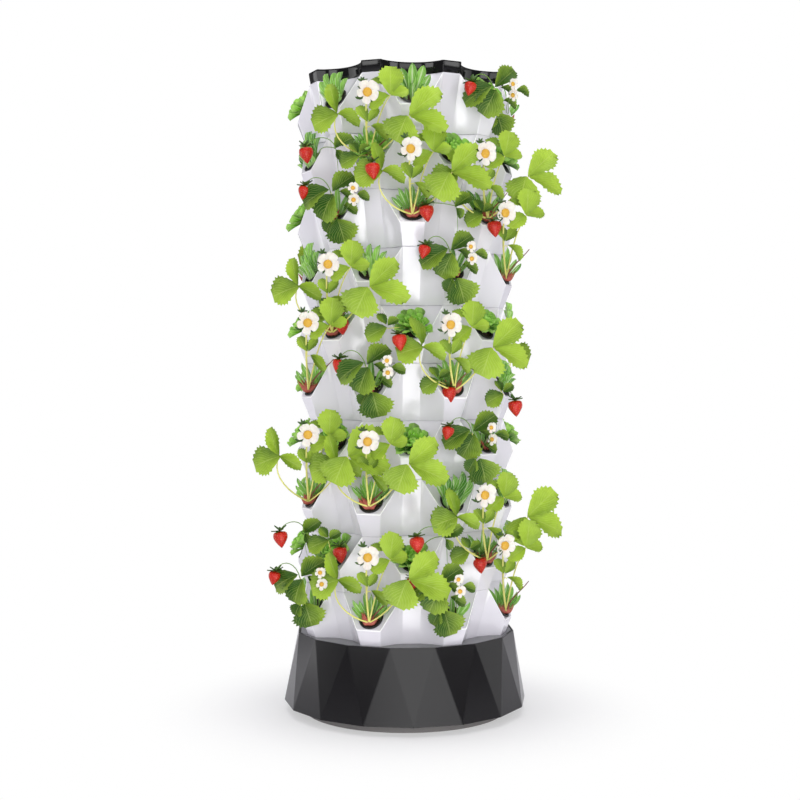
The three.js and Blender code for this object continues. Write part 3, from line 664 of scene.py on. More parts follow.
bed_radius, bed_depth, pebble_radius, pebble_spacing = 22.4 * mm, 5 * mm, 3.6 * mm, 5.6 * mm
made = bmesh.new()
for at in all_pockets:
    bmesh.ops.create_circle(made, cap_ends=True, segments=24, radius=bed_radius,
                            matrix=pocket_at(*at) @ Matrix.Translation((0, 0, -bed_depth)))
beds = mesh_of("pebble_beds", made)
made = bmesh.new()
bmesh.ops.create_icosphere(made, subdivisions=1, radius=pebble_radius)
pebbles = grown("clay_pebbles", beds, group, pebble=mesh_of("pebble", made),
                distance=pebble_spacing, seed=7, material=clay)
pebbles.shade_smooth()
dressed("clay_pebbles", pebbles, clay, "tower", "rubber")

# Strawberry plants
# Everbearing plants in fruit: a scaly crown in the pebbles, long-stalked leaves of three leaflets
# that hang in front of the tower, white flowers and ripe berries on thin stalks. Each leaf, a fifth
# of a millimetre thin, is a curved sheet with its veins in the material.


def sheet(name, rows, columns, half_width, height, teeth=0.0):
    """A leaf of unit length along +Y, with its upper side up and its veins' place in its UV map.
    Teeth stand out square to its edge, and its rows lie closer together near the tip."""
    made = bmesh.new()
    layer = made.loops.layers.uv.new("UVMap")
    grid, where = [], {}
    for i in range(rows + 1):
        v, row = 1 - (1 - i / rows) ** 1.35, []
        steep = (half_width(min(1, v + 0.01)) - half_width(max(0, v - 0.01))) / 0.02
        bite = teeth * (1 if i % 2 else -1) * max(0, min(1, 5 * v - 1.6))
        out, on = Vector((1, -steep)).normalized() * bite
        for j in range(columns + 1):
            u = 2 * j / columns - 1
            edge = u * (abs(u) == 1) * (0 < i < rows)
            vert = made.verts.new((u * half_width(v) + edge * out, v + abs(edge) * on, height(u, v)))
            where[vert] = (0.5 + u / 2, v)
            row.append(vert)
        grid.append(row)
    for low, high in zip(grid, grid[1:]):
        for j in range(columns):
            made.faces.new((low[j], low[j + 1], high[j + 1], high[j]))
    for face in made.faces:
        for loop in face.loops:
            loop[layer].uv = where[loop.vert]
    bmesh.ops.remove_doubles(made, verts=made.verts, dist=1e-5)
    mesh = mesh_of(name, made)
    mesh.shade_smooth()
    return mesh


def wedge(v):
    """Half the width of a leaflet: straight sides from its stalk, then a broad round end."""
    return 0.5 * min(v / 0.6, 1) ** 0.8 * (1 - max(0, (v - 0.5) / 0.52) ** 2.6) ** 0.55


def leaflet_shape(name, fold, droop, twist):
    return sheet(
        name, rows=18, columns=4, half_width=wedge,
        height=lambda u, v: fold * abs(u) * math.sin(math.pi * v) - droop * v * v + twist * u * v
        + 0.02 * math.sin(math.tau * (5 * v - 1.5 * abs(u))) * abs(u), teeth=0.036)


leaflet_shapes = [leaflet_shape("leaflet_flat", 0.16, 0.2, 0.06),
                  leaflet_shape("leaflet_folded", 0.34, 0.26, -0.08),
                  leaflet_shape("leaflet_drooping", 0.2, 0.42, 0.05)]
petal_shape = sheet("petal", 6, 4, lambda v: 0.5 * (0.42 + 0.58 * v ** 0.7) * (1 - v ** 5) ** 0.5,
                    lambda u, v: 0.26 * v * v + 0.16 * u * u + 0.04 * math.sin(9 * v + 4 * u))
sepal_shape = sheet("sepal", 4, 2, lambda v: 0.5 * math.sin(math.pi * (0.12 + 0.88 * v)) ** 0.8,
                    lambda u, v: 0.1 * v * v + 0.12 * abs(u))
cos_shape = sheet("cos_leaf", 8, 4, lambda v: 0.5 * (0.4 + 0.6 * v ** 0.9) * (1 - v ** 2.6) ** 0.6,
                  lambda u, v: 0.2 * u * u - 0.2 * v * v * v + 0.03 * math.sin(11 * v) * u)


def leafy(name, light, dark, vein, ribs, rise, width, clear, pale, foot_shade, hem, glow):
    """Leaf tissue: between a light and a dark green by the copy's tone, with painted shade on one half,
    strongest on an old leaf, paler towards its foot or darker there by painted shade, paler at its
    hem, with a midrib and side veins that climb to the edge, a swell between them, and some light
    through the sheet."""
    material, tree, shader, spot = new_material(name, 0.48)
    uv = add(tree, "ShaderNodeUVMap", uv_map="UVMap")
    across = add(tree, "ShaderNodeSeparateXYZ", {0: uv})
    centred = add(tree, "ShaderNodeMath",
                  {0: across.outputs["X"], 1: 2.0, 2: -1.0}, operation="MULTIPLY_ADD")
    beside = add(tree, "ShaderNodeMath", {0: centred}, operation="ABSOLUTE")
    climb = add(tree, "ShaderNodeMath",
                {0: beside, 1: -rise, 2: across.outputs["Y"]}, operation="MULTIPLY_ADD")
    count = add(tree, "ShaderNodeMath", {0: climb, 1: ribs}, operation="MULTIPLY")
    wave = add(tree, "ShaderNodeMath", {0: count, 1: 0.5}, operation="PINGPONG")
    side = add(tree, "ShaderNodeMapRange",
               {"Value": wave, "From Min": 0.13, "From Max": 0.02}, interpolation_type="SMOOTHSTEP")
    rib = add(tree, "ShaderNodeMapRange", {
        "Value": beside, "From Min": width, "From Max": width * 0.35}, interpolation_type="SMOOTHSTEP")
    veins = add(tree, "ShaderNodeMath", {0: side, 1: rib}, operation="MAXIMUM")
    faint = add(tree, "ShaderNodeMath", {0: veins, 1: clear}, operation="MULTIPLY")
    foot = add(tree, "ShaderNodeMapRange",
               {"Value": across.outputs["Y"], "From Max": 0.5, "To Min": pale, "To Max": 0.0})
    rim = add(tree, "ShaderNodeMath", {0: beside, 1: across.outputs["Y"]}, operation="MAXIMUM")
    border = add(tree, "ShaderNodeMapRange",
                 {"Value": rim, "From Min": 0.6, "From Max": 1.0, "To Max": hem})
    lit = add(tree, "ShaderNodeMath", {0: faint, 1: foot}, operation="MAXIMUM")
    lit = add(tree, "ShaderNodeMath", {0: lit, 1: border}, operation="MAXIMUM")
    tone = add(tree, "ShaderNodeAttribute", attribute_name="tone").outputs["Fac"]
    blotch = add(tree, "ShaderNodeTexNoise", {"Vector": spot, "Scale": 1 / (22 * mm)})
    shade = add(tree, "ShaderNodeMath", {0: blotch, 1: 0.5, 2: -0.22}, operation="MULTIPLY_ADD")
    # Painted shade: one half of each leaf is darker, the more so the older the leaf, as if turned from
    # the light.
    half_shade_strength = add(tree, "ShaderNodeMath", {0: tone, 1: 0.34, 2: 0.18}, operation="MULTIPLY_ADD")
    painted_shade_and_blotch = add(tree, "ShaderNodeMath", {0: centred, 1: half_shade_strength, 2: shade}, operation="MULTIPLY_ADD")
    # Painted shade darkens the leaf towards its foot.
    root = add(tree, "ShaderNodeMapRange",
               {"Value": across.outputs["Y"], "From Max": 0.7, "To Min": foot_shade, "To Max": 0.0})
    painted_shade_and_blotch = add(tree, "ShaderNodeMath", {0: painted_shade_and_blotch, 1: root}, operation="ADD")
    mixture = add(tree, "ShaderNodeMath", {0: tone, 1: painted_shade_and_blotch}, operation="ADD", use_clamp=True)
    body = add(tree, "ShaderNodeMix", {0: mixture, 6: colour(light), 7: colour(dark)}, data_type="RGBA")
    green = add(tree, "ShaderNodeMix", {0: lit, 6: body, 7: colour(vein)}, data_type="RGBA")
    bump = add(tree, "ShaderNodeBump", {"Height": wave, "Distance": 1 * mm, "Strength": 0.5})
    through = add(tree, "ShaderNodeBsdfTranslucent", {"Color": green})
    feed(tree, shader, {"Specular IOR Level": 0.2, "Base Color": green, "Normal": bump})
    sheer = add(tree, "ShaderNodeMixShader", {0: glow, 1: shader, 2: through})
    feed(tree, tree.nodes["Material Output"], {"Surface": sheer})
    return material


# Strawberry leaves are yellow-green when young and deep green when old, with a little painted shade at
# their foot.
strawberry_leaf = leafy(
    "strawberry_leaf", "#a8ca3a", "#265404", "#cfdf7a", ribs=7, rise=0.8, width=0.05, clear=0.3,
    pale=0.0, foot_shade=0.16, hem=0.08, glow=0.16)
# The leaf bases in the crown have a broad pale rib, as cos leaves do.
cos_leaf = leafy(
    "cos_leaf", "#a2dc5c", "#2c7f20", "#e8f5cc", ribs=4, rise=0.8, width=0.22, clear=0.8,
    pale=0.25, foot_shade=0.0, hem=0.1, glow=0.2)


def plain_tissue(name, code, second, rough, size, glow=0.0):
    """Petals, stalks and fruit: two near colours in patches of a size in millimetres."""
    material, tree, shader, spot = new_material(name, rough)
    patches = add(tree, "ShaderNodeTexNoise", {"Vector": spot, "Scale": 1 / (size * mm)})
    tint = add(tree, "ShaderNodeMix", {0: patches, 6: colour(code), 7: colour(second)}, data_type="RGBA")
    feed(tree, shader, {"Base Color": tint, "Subsurface Weight": glow, "Subsurface Scale": 2 * mm})
    return material


# Pale yellow-green stalks, red-brown runners, white petals and an orange-yellow flower centre.
stalk_green = plain_tissue("leaf_stalk", "#f0e88e", "#d2d662", 0.45, 18)
runner_red = plain_tissue("runner", "#8c3b31", "#5f2a24", 0.5, 12)
thin_green = plain_tissue("fruit_stalk", "#7fa43a", "#55822a", 0.45, 12)
crown_red = plain_tissue("crown_scales", "#c8644e", "#7e3226", 0.6, 5)
petal_white = plain_tissue("petal", "#f4f2ea", "#dad6c8", 0.55, 5, 0.1)
stamen_yellow = plain_tissue("stamens", "#e3b72f", "#c58d17", 0.6, 3)
sepal_green = plain_tissue("sepal", "#466f1a", "#22420e", 0.5, 8)

group, given = node_group("stems", [("Sides", "Int"), ("Material", "Material")])
line = add(group, "GeometryNodeMeshToCurve", {"Mesh": given["Geometry"]})
thick = add(group, "GeometryNodeInputNamedAttribute", {"Name": "thick"}, data_type="FLOAT")
ring = add(group, "GeometryNodeCurvePrimitiveCircle", {"Resolution": given["Sides"], "Radius": 1.0})
tube = add(group, "GeometryNodeCurveToMesh",
           {"Curve": line, "Profile Curve": ring, "Scale": thick, "Fill Caps": True})
finish_group(group, tube, given["Material"])
stem_group = group


def stems(name, paths, material):
    """Tapered round stems along Bezier paths. A path is its four points and its two radii."""
    points, edges, radii, steps = [], [], [], 9
    for (a, b, c, d), thick_end, thin_end in paths:
        for i in range(steps + 1):
            t = i / steps
            s = 1 - t
            points.append(a * s ** 3 + b * 3 * t * s ** 2 + c * 3 * t * t * s + d * t ** 3)
            radii.append(thick_end + (thin_end - thick_end) * t)
            if i:
                edges.append((len(points) - 2, len(points) - 1))
    mesh = bpy.data.meshes.new(f"{name}_paths")
    mesh.from_pydata(points, edges, [])
    mesh.attributes.new("thick", "FLOAT", "POINT").data.foreach_set("value", radii)
    made = grown(name, mesh, stem_group, sides=7, material=material)
    made.shade_smooth()
    return made


def ball(name, rings, segments, profile):
    """A turned closed shape about +Z from a profile that starts and ends on the axis."""
    made = bmesh.new()
    round_it = [(math.cos(i * math.tau / segments), math.sin(i * math.tau / segments))
                for i in range(segments)]
    rows = [[made.verts.new((r * x, r * y, z)) for x, y in round_it]
            for r, z in (profile(k / rings) for k in range(rings + 1))]
    for low, high in zip(rows, rows[1:]):
        for i in range(segments):
            j = (i + 1) % segments
            made.faces.new((low[i], low[j], high[j], high[i]))
    bmesh.ops.remove_doubles(made, verts=made.verts, dist=1e-6)
    bmesh.ops.recalc_face_normals(made, faces=made.faces)
    mesh = mesh_of(name, made)
    mesh.shade_smooth()
    return mesh


def arc(t):
    return math.sin(math.pi * t)


# A berry of unit length that hangs down from its stalk, with its shoulders at the top
berry_shape = ball("berry", 10, 16, lambda t: (
    0.5 * arc(t ** 0.85) ** 0.6 * (1.12 - 0.72 * t), 0.05 - t + 0.1 * arc(t) * (t < 0.3)))
dome_shape = ball("flower_centre", 5, 12, lambda t: (0.5 * arc(t), -0.3 * math.cos(math.pi * t)))
bud_shape = ball("crown_bud", 6, 8, lambda t: (0.16 * arc(t ** 0.6) ** 0.8, t))
seed_shape = ball("seed", 2, 5, lambda t: (0.016 * arc(t), -0.022 * math.cos(math.pi * t)))

# Ripe fruit: glossy red with a dimple under each yellow seed.
berry_red, tree, shader, spot = new_material("strawberry_fruit", 0.36)
dimples = add(tree, "ShaderNodeTexVoronoi", {"Vector": spot, "Scale": 1 / (3.4 * mm)})
bump = add(tree, "ShaderNodeBump", {"Height": dimples, "Distance": 0.7 * mm, "Strength": 0.8})
patches = add(tree, "ShaderNodeTexNoise", {"Vector": spot, "Scale": 1 / (14 * mm)})
tint = add(tree, "ShaderNodeMix",
           {0: patches, 6: colour("#d01b06"), 7: colour("#ab1204")}, data_type="RGBA")
feed(tree, shader, {"Specular IOR Level": 0.35, "Base Color": tint, "Normal": bump})
seed_yellow = plain_tissue("fruit_seed", "#e7b84a", "#c98f2c", 0.4, 3)

group, given = node_group("fruit_seeds", [
    ("Seed", "Object"), ("Distance", "Float"), ("Material", "Material")])
scattered = add(group, "GeometryNodeDistributePointsOnFaces", {
    "Mesh": given["Geometry"], "Distance Min": given["Distance"], "Density Max": 400.0,
    "Seed": 3}, distribute_method="POISSON")
seed = add(group, "GeometryNodeObjectInfo", {"Object": given["Seed"]}).outputs["Geometry"]
sown = add(group, "GeometryNodeInstanceOnPoints", {
    "Points": scattered, "Instance": seed, "Rotation": scattered.outputs["Rotation"]})
finish_group(group, sown, given["Material"])
sown_seeds = grown("sown_seeds", berry_shape.copy(), group, seed=seed_shape, distance=0.13,
                   material=seed_yellow)


def aimed(at, along, up, width, length, thick=None):
    """A matrix with +Y along one direction and +Z as near as it can be to the other."""
    y = along.normalized()
    x = y.cross(up).normalized()
    axes = Matrix((x, y, x.cross(y))).transposed().to_4x4()
    return Matrix.Translation(at) @ axes @ Matrix.Diagonal((width, length, thick or length, 1))


class Bed:
    """What grows from one pocket, or from many, kind by kind."""

    def __init__(self):
        self.copies, self.stems = {}, {}

    def put(self, kind, matrix, tone=0.0):
        self.copies.setdefault(kind, []).append((matrix, tone))

    def stem(self, kind, points, thick, thin):
        self.stems.setdefault(kind, []).append((points, thick * mm, thin * mm))


class View:
    """Places around a pocket as they look to a viewer at the studio camera's height and distance on
    the side that the plant faces, in millimetres: to the right of the pocket, above it and in
    front of a cylinder just outside the lips. A hand of -1 mirrors the plant."""
    eye_height, eye_distance = 777 * mm, 3225 * mm
    # The cylinder's radius, the sine of the farthest turn round it, and how far out a flower may be
    cylinder, widest, outermost = 288, 0.72, 326

    def __init__(self, layer, degrees, face, shift=(0, 0), hand=1):
        self.face, self.shift, self.hand = face, shift, hand
        self.cup = pocket_at(layer, degrees)
        seat = self.cup.translation
        self.right = seat.x * math.cos(face) + seat.y * math.sin(face)
        self.depth, self.height = seat.x * math.sin(face) - seat.y * math.cos(face), seat.z

    def bend(self, side):
        """How far round the cylinder that place is."""
        turn = (self.right + side * mm) / (self.cylinder * mm)
        return math.asin(max(-self.widest, min(self.widest, turn)))

    def at(self, side, up, front=0.0, least=0.0):
        """The place. Within 60 mm of the pocket it draws back towards the cup, but keeps at least
        a share of its depth."""
        side, up = side * self.hand + self.shift[0], up + self.shift[1]
        bend = self.bend(side)
        near = max(least, min(1, math.hypot(side, max(up, -3 * up)) / 60))
        here = self.depth + ((self.cylinder + front) * mm * math.cos(bend) - self.depth) * near
        shrink = (self.eye_distance - here) / (self.eye_distance - self.depth)
        high = self.eye_height + (self.height - self.eye_height + up * mm) * shrink
        return polar(self.face, here, (self.right + side * mm) * shrink, high)

    def clear(self, side, front):
        """How far a flower stands in front there, so that no leaf of a neighbour hides it."""
        bend = self.bend(side)
        return min(front + 80 * abs(math.sin(bend)), self.outermost / math.cos(bend) - self.cylinder)

    def axes(self, side):
        """Sideways and outward at that place, turned a quarter as far as the tower's surface."""
        turn = self.face + self.bend(side * self.hand) * 0.25
        return polar(turn, 0, self.hand), polar(turn, 1)


luck = random.Random(11)


def leaflet(bed, view, side, up, front, degrees, length, width, tone, shape, lean=0.25, least=0.0):
    """One leaflet whose tip points degrees from straight up, clockwise in the plant's view, from 0
    young to 1 old in tone, and leaning out by a share of its length."""
    across, out = view.axes(side)
    degrees = math.radians(degrees + luck.uniform(-5, 5))
    along = across * math.sin(degrees) + Vector((0, 0, math.cos(degrees)))
    along += out * (lean + luck.uniform(-0.1, 0.1))
    normal = out + Vector((0, 0, 0.45)) + across * luck.uniform(-0.15, 0.15)
    size = luck.uniform(0.95, 1.06)
    root = view.at(side, up, front, least)
    bed.put(f"leaflet_{shape}", aimed(root, along, normal, width * mm * size, length * mm * size),
            tone + luck.uniform(-0.06, 0.06))


# The width and length of each petal as a share of the flower's span, from the lowest one round
petals = ((0.46, 0.46), (0.6, 0.42), (0.7, 0.47), (0.58, 0.44), (0.44, 0.42))


def flower(bed, view, side, up, front, span):
    """Five uneven petals round a domed centre, one of them narrow and low, with sepals behind."""
    across, out = view.axes(side)
    face = (out + across * 0.25 + Vector((0, 0, -0.1))).normalized()
    at = view.at(side, up, view.clear(side, front))
    spin = luck.uniform(-0.2, 0.2) + math.pi / 2
    sideways = face.cross(Vector((0, 0, -1))).normalized()
    upward = face.cross(sideways)
    for k, (broad, reach) in enumerate(petals):
        angle = k * math.tau / len(petals) - spin
        ray = sideways * math.cos(angle) + upward * math.sin(angle)
        bed.put("petal", aimed(at + ray * 0.08 * span * mm, ray, face, broad * span * mm,
                               reach * span * mm))
        between = sideways * math.cos(angle + 0.6) + upward * math.sin(angle + 0.6)
        bed.put("sepal", aimed(at - face * 0.05 * span * mm, between, face, 0.15 * span * mm,
                               0.5 * span * mm))
    bed.put("dome", aimed(at + face * 0.06 * span * mm, face.orthogonal(), face, 0.42 * span * mm,
                          0.42 * span * mm))
    return at


def berry(bed, view, side, up, front, length, swing=0.12):
    """A hanging fruit with a star of sepals on top. The point is the top of the fruit."""
    across, out = view.axes(side)
    at = view.at(side, up, front)
    down = (Vector((0, 0, -1)) + across * swing + out * 0.1).normalized()
    fruit = aimed(at, out, -down, length * mm, length * mm)
    bed.put("berry", fruit)
    bed.put("seeds", fruit)
    sepals = 7
    for angle in (k * math.tau / sepals for k in range(sepals)):
        ray = across * math.cos(angle) + out * math.sin(angle) + down * luck.uniform(-0.8, 0.3)
        bed.put("sepal", aimed(at - down * 1.5 * mm, ray, -down, 9 * mm, 19 * mm))
    return at


def crown(bed, view, buds=12, bases=9):
    """The scaly crown near the lip: red-brown buds in front of a fan of pale-ribbed leaf bases."""
    across, out = view.axes(0)
    seat = view.cup @ Vector((0, -14 * mm, 5 * mm))
    for k in range(buds):
        spread = (k - (buds - 1) / 2) / buds
        along = across * spread * 1.5 + Vector((0, 0, 1)) + out * luck.uniform(0.1, 0.9)
        root = seat + across * spread * 12 * mm - Vector((0, 0, 7 * mm))
        bed.put("bud", aimed(root, out, along, 22 * mm, 22 * mm, luck.uniform(18, 36) * mm))
    for k in range(bases):
        spread = (k - (bases - 1) / 2) / bases
        along = across * spread * 2.2 + Vector((0, 0, 1)) + out * luck.uniform(0.15, 0.5)
        root = view.cup @ Vector((0, luck.uniform(-4, 8) * mm, -4 * mm)) + across * spread * 34 * mm
        length = luck.uniform(48, 66) * (1 - 0.6 * abs(spread))
        bed.put("cos", aimed(root, along, out, 0.36 * length * mm, length * mm), luck.uniform(0.0, 0.45))
    return seat


# How far the plants lean to the right and up, by their pocket's azimuth
leans = {-112.5: (-75, 0), -67.5: (-19, 8), -45: (-20, 8), -22.5: (-9, -2), 0: (-4, 0),
         22.5: (-5, 0), 45: (-1, 2), 67.5: (2, 6)}
# How much farther right their largest leaf stands
reaches = {22.5: 8, 45: 12}
# Young plants whose two largest leaves haven't opened yet
young_plants = {(7, 67.5), (5, -67.5), (1, 67.5)}


def trifoliate_plant(bed, layer, degrees, face):
    """A bright plant with a flower high over its crown and four leaves around it."""
    view = View(layer, degrees, face, leans.get(degrees, (0, 0)), -1 if degrees == -112.5 else 1)
    seat, at = crown(bed, view), view.at
    full, far = (layer, degrees) not in young_plants, reaches.get(degrees, 0)
    young, old, fore = 0.12, 0.34, 2 if full else 42
    # Each leaflet's place, its direction, length and width, its tone and its shape
    upper = [(45, 129, fore, 7, 56, 54, young, 0), (46, 128, fore + 2, 76, 37, 34, young, 0),
             (44, 128, fore, -122, 46, 38, young, 1), (34, 148, fore - 4, -66, 32, 22, old, 1)]
    large = [(84 + far, 85, 24, 44, 78, 58, young, 0), (80 + far, 85, 24, 205, 62, 84, young + 0.1, 0),
             (86 + far, 84, 26, 108, 82, 60, young - 0.05, 0), (-63, 86, 6, -105, 60, 70, old, 0),
             (-66, 86, 8, 110, 52, 30, old, 1), (-66, 88, 4, -18, 60, 30, old, 1)]
    middle = [(-3, 70, 12, -27, 36, 25, old + 0.08, 0), (-1, 70, 12, 31, 34, 23, old + 0.08, 0),
              (4, 62, 12, 127, 44, 22, old + 0.12, 1)]
    for leaf in upper + large * full + middle:
        leaflet(bed, view, *leaf)
    if full:
        bed.stem("stalk", (seat, at(48, 14), at(66 + far / 2, 52, 8), at(86 + far, 85, 22)), 1.8, 1.3)
        bed.stem("stalk", (seat, at(-54, 6), at(-84, 48), at(-66, 86, 4)), 2.0, 1.3)
    bloom = flower(bed, view, -7, 134, 44, 48)
    # Two closed buds hang from the flower's stalk as small stars.
    for side, up in ((-17, 157), (-24, 119)):
        across, out = view.axes(side)
        tip = at(side, up, view.clear(side, 30))
        for turn in (-1.1, -0.3, 0.4, 1.2):
            along = across * math.sin(turn) + Vector((0, 0, math.cos(turn)))
            bed.put("sepal", aimed(tip, along, out, 5 * mm, luck.uniform(9, 14) * mm))
        behind = bloom - out * 8 * mm
        bed.stem("thin", (behind, behind.lerp(tip, 0.3), behind.lerp(tip, 0.7), tip), 0.9, 0.6)
    for kind, path, thick, thin in (
            ("stalk", (seat, at(-4, 40), at(-8, 90), bloom), 2.5, 1.7),
            ("stalk", (seat, at(14, 46), at(22, 96, fore / 2), at(46, 129, fore)), 1.9, 1.2),
            ("stalk", (seat, at(-2, 30), at(-6, 52), at(-3, 72, 10)), 1.6, 1.0),
            ("stalk", (at(-3, 58, 8), at(0, 62, 8), at(2, 60, 10), at(4, 58, 12)), 1.0, 0.8),
            ("runner", (seat, at(16, 16), at(34, 24), at(54, 52)), 1.8, 0.9)):
        bed.stem(kind, path, thick, thin)


def dark_plant(bed, layer, degrees, face=0.0, x=-12, z=41):
    """An older plant: deep green leaves that cup downwards and meet at x to the right of the pocket
    and z above it, two small flowers and a berry."""
    view = View(layer, degrees, face)
    crown(bed, view, buds=3, bases=5)
    seat, at = view.cup @ Vector((0, 0, -3 * mm)), view.at
    for leaf in ((x - 6, z + 10, 12, -112, 64, 54, 0.86, 2, 0.1),
                 (x + 2, z + 6, 6, 48, 58, 44, 0.95, 1, 0.1),
                 (x + 4, z, 16, -152, 54, 68, 0.76, 2, 0.3), (x + 16, z + 6, 4, 116, 34, 20, 0.95, 1),
                 (x + 52, z - 2, 0, 98, 30, 24, 0.9, 1), (x + 28, z - 24, 0, 110, 34, 24, 0.85, 1),
                 (x + 14, z - 54, 8, 160, 50, 76, 0.8, 2, 0.3),
                 (x + 4, z - 54, 4, -150, 30, 34, 0.95, 2, 0.3)):
        leaflet(bed, view, *leaf)
    first = flower(bed, view, x + 40, z + 14, 30, 23)
    second = flower(bed, view, x + 44, z - 12, 32, 25)
    fruit = berry(bed, view, x - 56, z + 16, 2, 31, -0.25)
    bed.stem("stalk", (seat, at(x, 8), at(x, z - 20), at(x, z + 2, 8)), 1.8, 1.1)
    bed.stem("thin", (at(x, z), at(x - 10, z + 44), at(x - 46, z + 46), fruit), 1.1, 0.8)
    for bloom, bow in ((first, 26), (second, 20)):
        bed.stem("thin", (seat, at(bow - 6, 0), at(x + bow + 8, z - 40), bloom), 1.0, 0.7)
    bed.stem("thin", (seat, at(6, -6, -6), at(x, z - 70, -10), at(x + 2, z - 56, 4)), 1.2, 0.8)


def fruiting_stem(bed, layer, degrees, side, up, arched, face=0.0):
    """A ripe berry on its stalk, with one leaf: arching out to the right with a runner that hangs
    from it, or close on the left."""
    view = View(layer, degrees, face)
    seat, at = view.cup @ Vector((0, 0, -3 * mm)), view.at
    fruit = berry(bed, view, side, up + 18, 30, 37)
    if arched:
        x, z = side + 64, up + 18
        bed.stem("thin", (at(x, z, 4), at(x - 10, z + 34, 8), at(side + 8, up + 46, 12), fruit), 1.0, 0.8)
        bed.stem("thin", (seat, at(12, 26, -6), at(x - 34, z + 8, -4), at(x, z, 4)), 1.2, 0.9)
        bed.stem("thin", (at(x, z, 4), at(x + 6, z - 20), at(x + 3, z - 44), at(x + 6, z - 66)), 0.9, 0.4)
        leaves = ((x - 2, z - 2, 6, 52, 44, 34, 0.84, 1), (x + 2, z - 4, 4, 150, 24, 20, 0.95, 1))
    else:
        x, z = side - 24, up + 34
        bed.stem("thin", (seat, at(side * 0.5, up + 40, -2), at(side, up + 42, 8), fruit), 1.2, 0.8)
        bed.stem("stalk", (seat, at(-14, 6, -8), at(x, z - 4, 0, 0.6), at(x, z - 2, 4, 0.6)), 1.4, 0.9)
        leaves = ((x, z, 4, -112, 46, 44, 0.6, 0, 0.3, 0.6),
                  (x + 2, z + 4, 0, 52, 26, 22, 0.8, 1, 0.25, 0.6),
                  (x - 1, z + 6, 0, -38, 28, 22, 0.75, 1, 0.25, 0.6))
    for leaf in leaves:
        leaflet(bed, view, *leaf)


kinds = {
    "petal": (petal_shape, petal_white), "sepal": (sepal_shape, sepal_green),
    "dome": (dome_shape, stamen_yellow), "berry": (berry_shape, berry_red),
    "seeds": (sown_seeds, seed_yellow), "bud": (bud_shape, crown_red), "cos": (cos_shape, cos_leaf)}
kinds |= {f"leaflet_{i}": (shape, strawberry_leaf) for i, shape in enumerate(leaflet_shapes)}
stem_kinds = {"stalk": stalk_green, "runner": runner_red, "thin": thin_green}


def planted(name, bed):
    """The finished piece of all that is in a bed, which rides on the tower."""
    meshes = [copies(f"{name}_{kind}", kinds[kind][0], [at for at, _ in found], kinds[kind][1],
                     [tone for _, tone in found]) for kind, found in bed.copies.items()]
    meshes += [stems(f"{name}_{kind}", found, stem_kinds[kind]) for kind, found in bed.stems.items()]
    parts = [place(f"{name}_{i}", mesh) for i, mesh in enumerate(meshes)]
    with bpy.context.temp_override(active_object=parts[0], selected_editable_objects=parts):
        bpy.ops.object.join()
    parts[0].name = name
    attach(parts[0], "tower")
    return parts[0]


front_plants = [(9, -22.5), (8, 0), (8, 45), (7, 67.5), (6, -45), (5, -67.5),
                (5, 22.5), (3, -67.5), (3, -22.5), (2, 45), (1, -22.5), (1, 67.5)]
back_plants = [(8, 180), (7, -112.5), (5, 112.5), (3, 157.5)]
every_plant = [(at, 0.0) for at in front_plants] + [(at, math.pi) for at in back_plants]
for number, ((layer, degrees), face) in enumerate(every_plant, 1):
    bed = Bed()
    trifoliate_plant(bed, layer, degrees, face)
    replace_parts(planted(f"bright_plant_{number:02d}", bed), f"strawberry_plant_{number:02d}")

# Where each dark plant's leaves meet beside its pocket: to the right and up
dark_pockets = {(10, 90): (-38, 58), (8, -45): (-14, 44), (7, 22.5): (-7, 38), (5, -22.5): (-14, 42),
                (4, 45): (-28, 20), (1, -67.5): (-38, 68), (1, 22.5): (-34, 68)}
dark_behind = [(9, 157.5), (6, -135), (4, 135), (2, 180), (1, -157.5)]
bed = Bed()
for at, (x, z) in dark_pockets.items():
    dark_plant(bed, *at, x=x, z=z)
for at in dark_behind:
    dark_plant(bed, *at, face=math.pi)
planted("dark_plants", bed)

# The side and height of each berry beside its pocket, and whether its stalk arches
berries = [((9, -67.5), -23, 13, True), ((9, -22.5), -4, -39, False), ((8, 0), 27, -6, True),
           ((8, 45), 19, -31, False), ((6, -45), 8, 4, False), ((6, 0), -34, -32, False),
           ((5, 22.5), -8, -20, False), ((5, 67.5), 22, -52, False), ((2, -90), -76, 21, True),
           ((2, -45), 4, 4, False), ((2, 0), 4, 33, True), ((2, 45), -10, -22, False)]
berries_behind = [((9, -157.5), 6, -20, False), ((6, 180), 10, -10, True), ((3, 112.5), 0, -20, False)]
bed = Bed()
for (layer, degrees), side, up, arched in berries:
    fruiting_stem(bed, layer, degrees, side, up, arched)
for (layer, degrees), side, up, arched in berries_behind:
    fruiting_stem(bed, layer, degrees, side, up, arched, math.pi)
planted("fruiting_stems", bed)

# Lettuces
# Butterhead rosettes and upright cos fill the pockets that hold no strawberry. Behind the tower,
# two rosettes stand for each cos.
lettuce_shape = sheet(
    "lettuce_leaf", 7, 6, lambda v: 0.5 * (0.28 + 0.72 * v ** 0.8) * (1 - v ** 5) ** 0.5,
    lambda u, v: 0.24 * u * u * (0.3 + v) + 0.2 * v * v - 0.14 * v ** 4
    + 0.1 * v * abs(u) * math.sin(11 * v + 7 * u))
# Lettuce is a fresh, wet-looking green with ruffled, paler edges, and its heart is darkened by painted
# shade.
lettuce_leaf = leafy(
    "lettuce_leaf", "#96e436", "#1c6a14", "#dff4a4", ribs=3, rise=0.6, width=0.1, clear=0.45,
    pale=0.0, foot_shade=0.6, hem=0.4, glow=0.2)
kinds["lettuce"] = (lettuce_shape, lettuce_leaf)


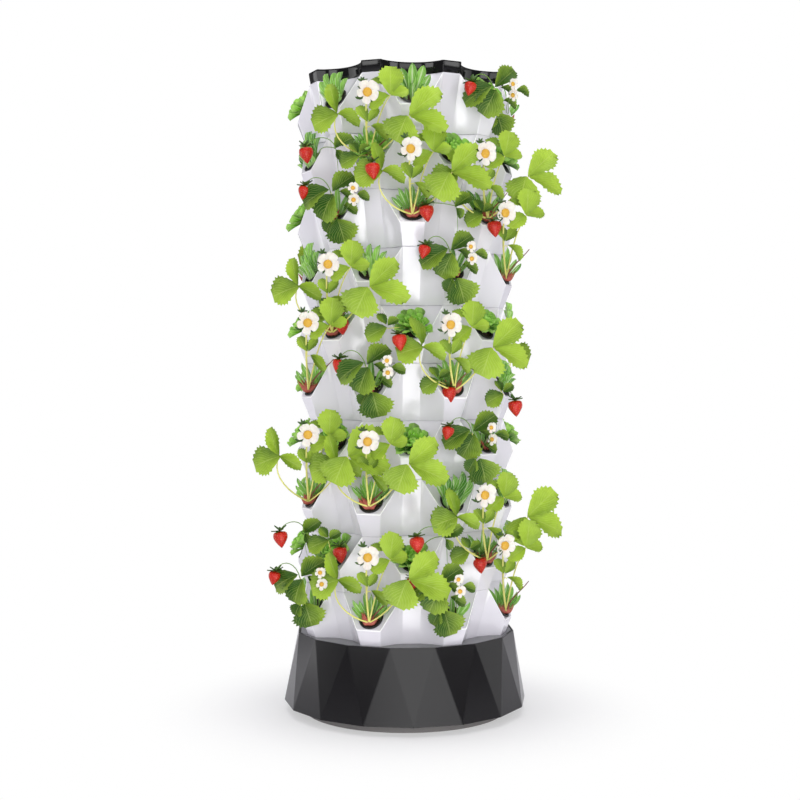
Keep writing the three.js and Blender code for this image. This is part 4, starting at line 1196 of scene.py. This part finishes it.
def rosette(bed, layer, degrees):
    """A small butterhead: cupped round leaves in a spiral, the inner ones upright and pale. Those at
    the tower's sides sit higher."""
    beside = abs(math.sin(math.radians(degrees)))
    cup = pocket_at(layer, degrees) @ Matrix.Translation((0, (14 * beside - 5) * mm, 0))
    up = (cup.to_3x3() @ Vector((0, 0.1, 1))).normalized()
    side = up.orthogonal().normalized()
    count, spin, golden_angle = 30, luck.uniform(0, math.tau), 2.39996
    for k in range(count):
        angle, t = spin + k * golden_angle, k / (count - 1)
        ray = side * math.cos(angle) + up.cross(side) * math.sin(angle)
        along = ray * (0.2 + 1.2 * t) + up * (1.2 - 0.95 * t)
        length = (17 + 25 * t) * luck.uniform(0.9, 1.1) * mm
        root = cup.translation + ray * (1 + 8 * t) * mm + up * (11 - 9 * t) * mm
        bed.put("lettuce", aimed(root, along, up * 1.2 - ray * 0.6, length * 0.76, length),
                0.85 * t * luck.uniform(0.5, 1.1) - 0.1)


def cos_lettuce(bed, layer, degrees):
    """A young cos lettuce: broad blades in two rows, the back row taller and open to the front."""
    cup = pocket_at(layer, degrees)
    azimuth = math.radians(degrees)
    out, side, up = polar(azimuth, 1), polar(azimuth, 0, 1), Vector((0, 0, 1))
    for count, depth, tall, hand in ((5, 2, 66, 1), (3, -16, 44, -1)):
        for k in range(count):
            spread = (k - (count - 1) / 2) / count
            along = up + side * spread * 1.5 + out * (0.2 + 0.1 * (hand < 0) + luck.uniform(0, 0.25))
            length = tall * luck.uniform(0.8, 1.1) * (1 - 0.3 * abs(spread)) * mm
            root = cup @ Vector((spread * 34 * mm, (depth + luck.uniform(-3, 3)) * mm, -3 * mm))
            bed.put("cos", aimed(root, along, out * hand, length * 0.5, length), luck.uniform(0.0, 0.6))


rosettes = [(6, 0), (10, -90), (9, -22.5), (9, 22.5), (8, -90), (4, 90), (4, 0), (2, -90), (2, -45)]
cos_pockets = [(10, -45), (10, 0), (9, -67.5), (7, -67.5), (7, -22.5), (5, 67.5), (3, 22.5)]
taken = set(front_plants + back_plants + [*dark_pockets] + dark_behind + rosettes + cos_pockets)
for number, at in enumerate(p for p in all_pockets if p not in taken):
    (rosettes if number % 3 else cos_pockets).append(at)
for name, grow, places in (("rosettes", rosette, rosettes), ("cos_lettuces", cos_lettuce, cos_pockets)):
    bed = Bed()
    for at in places:
        grow(bed, *at)
    planted(name, bed)
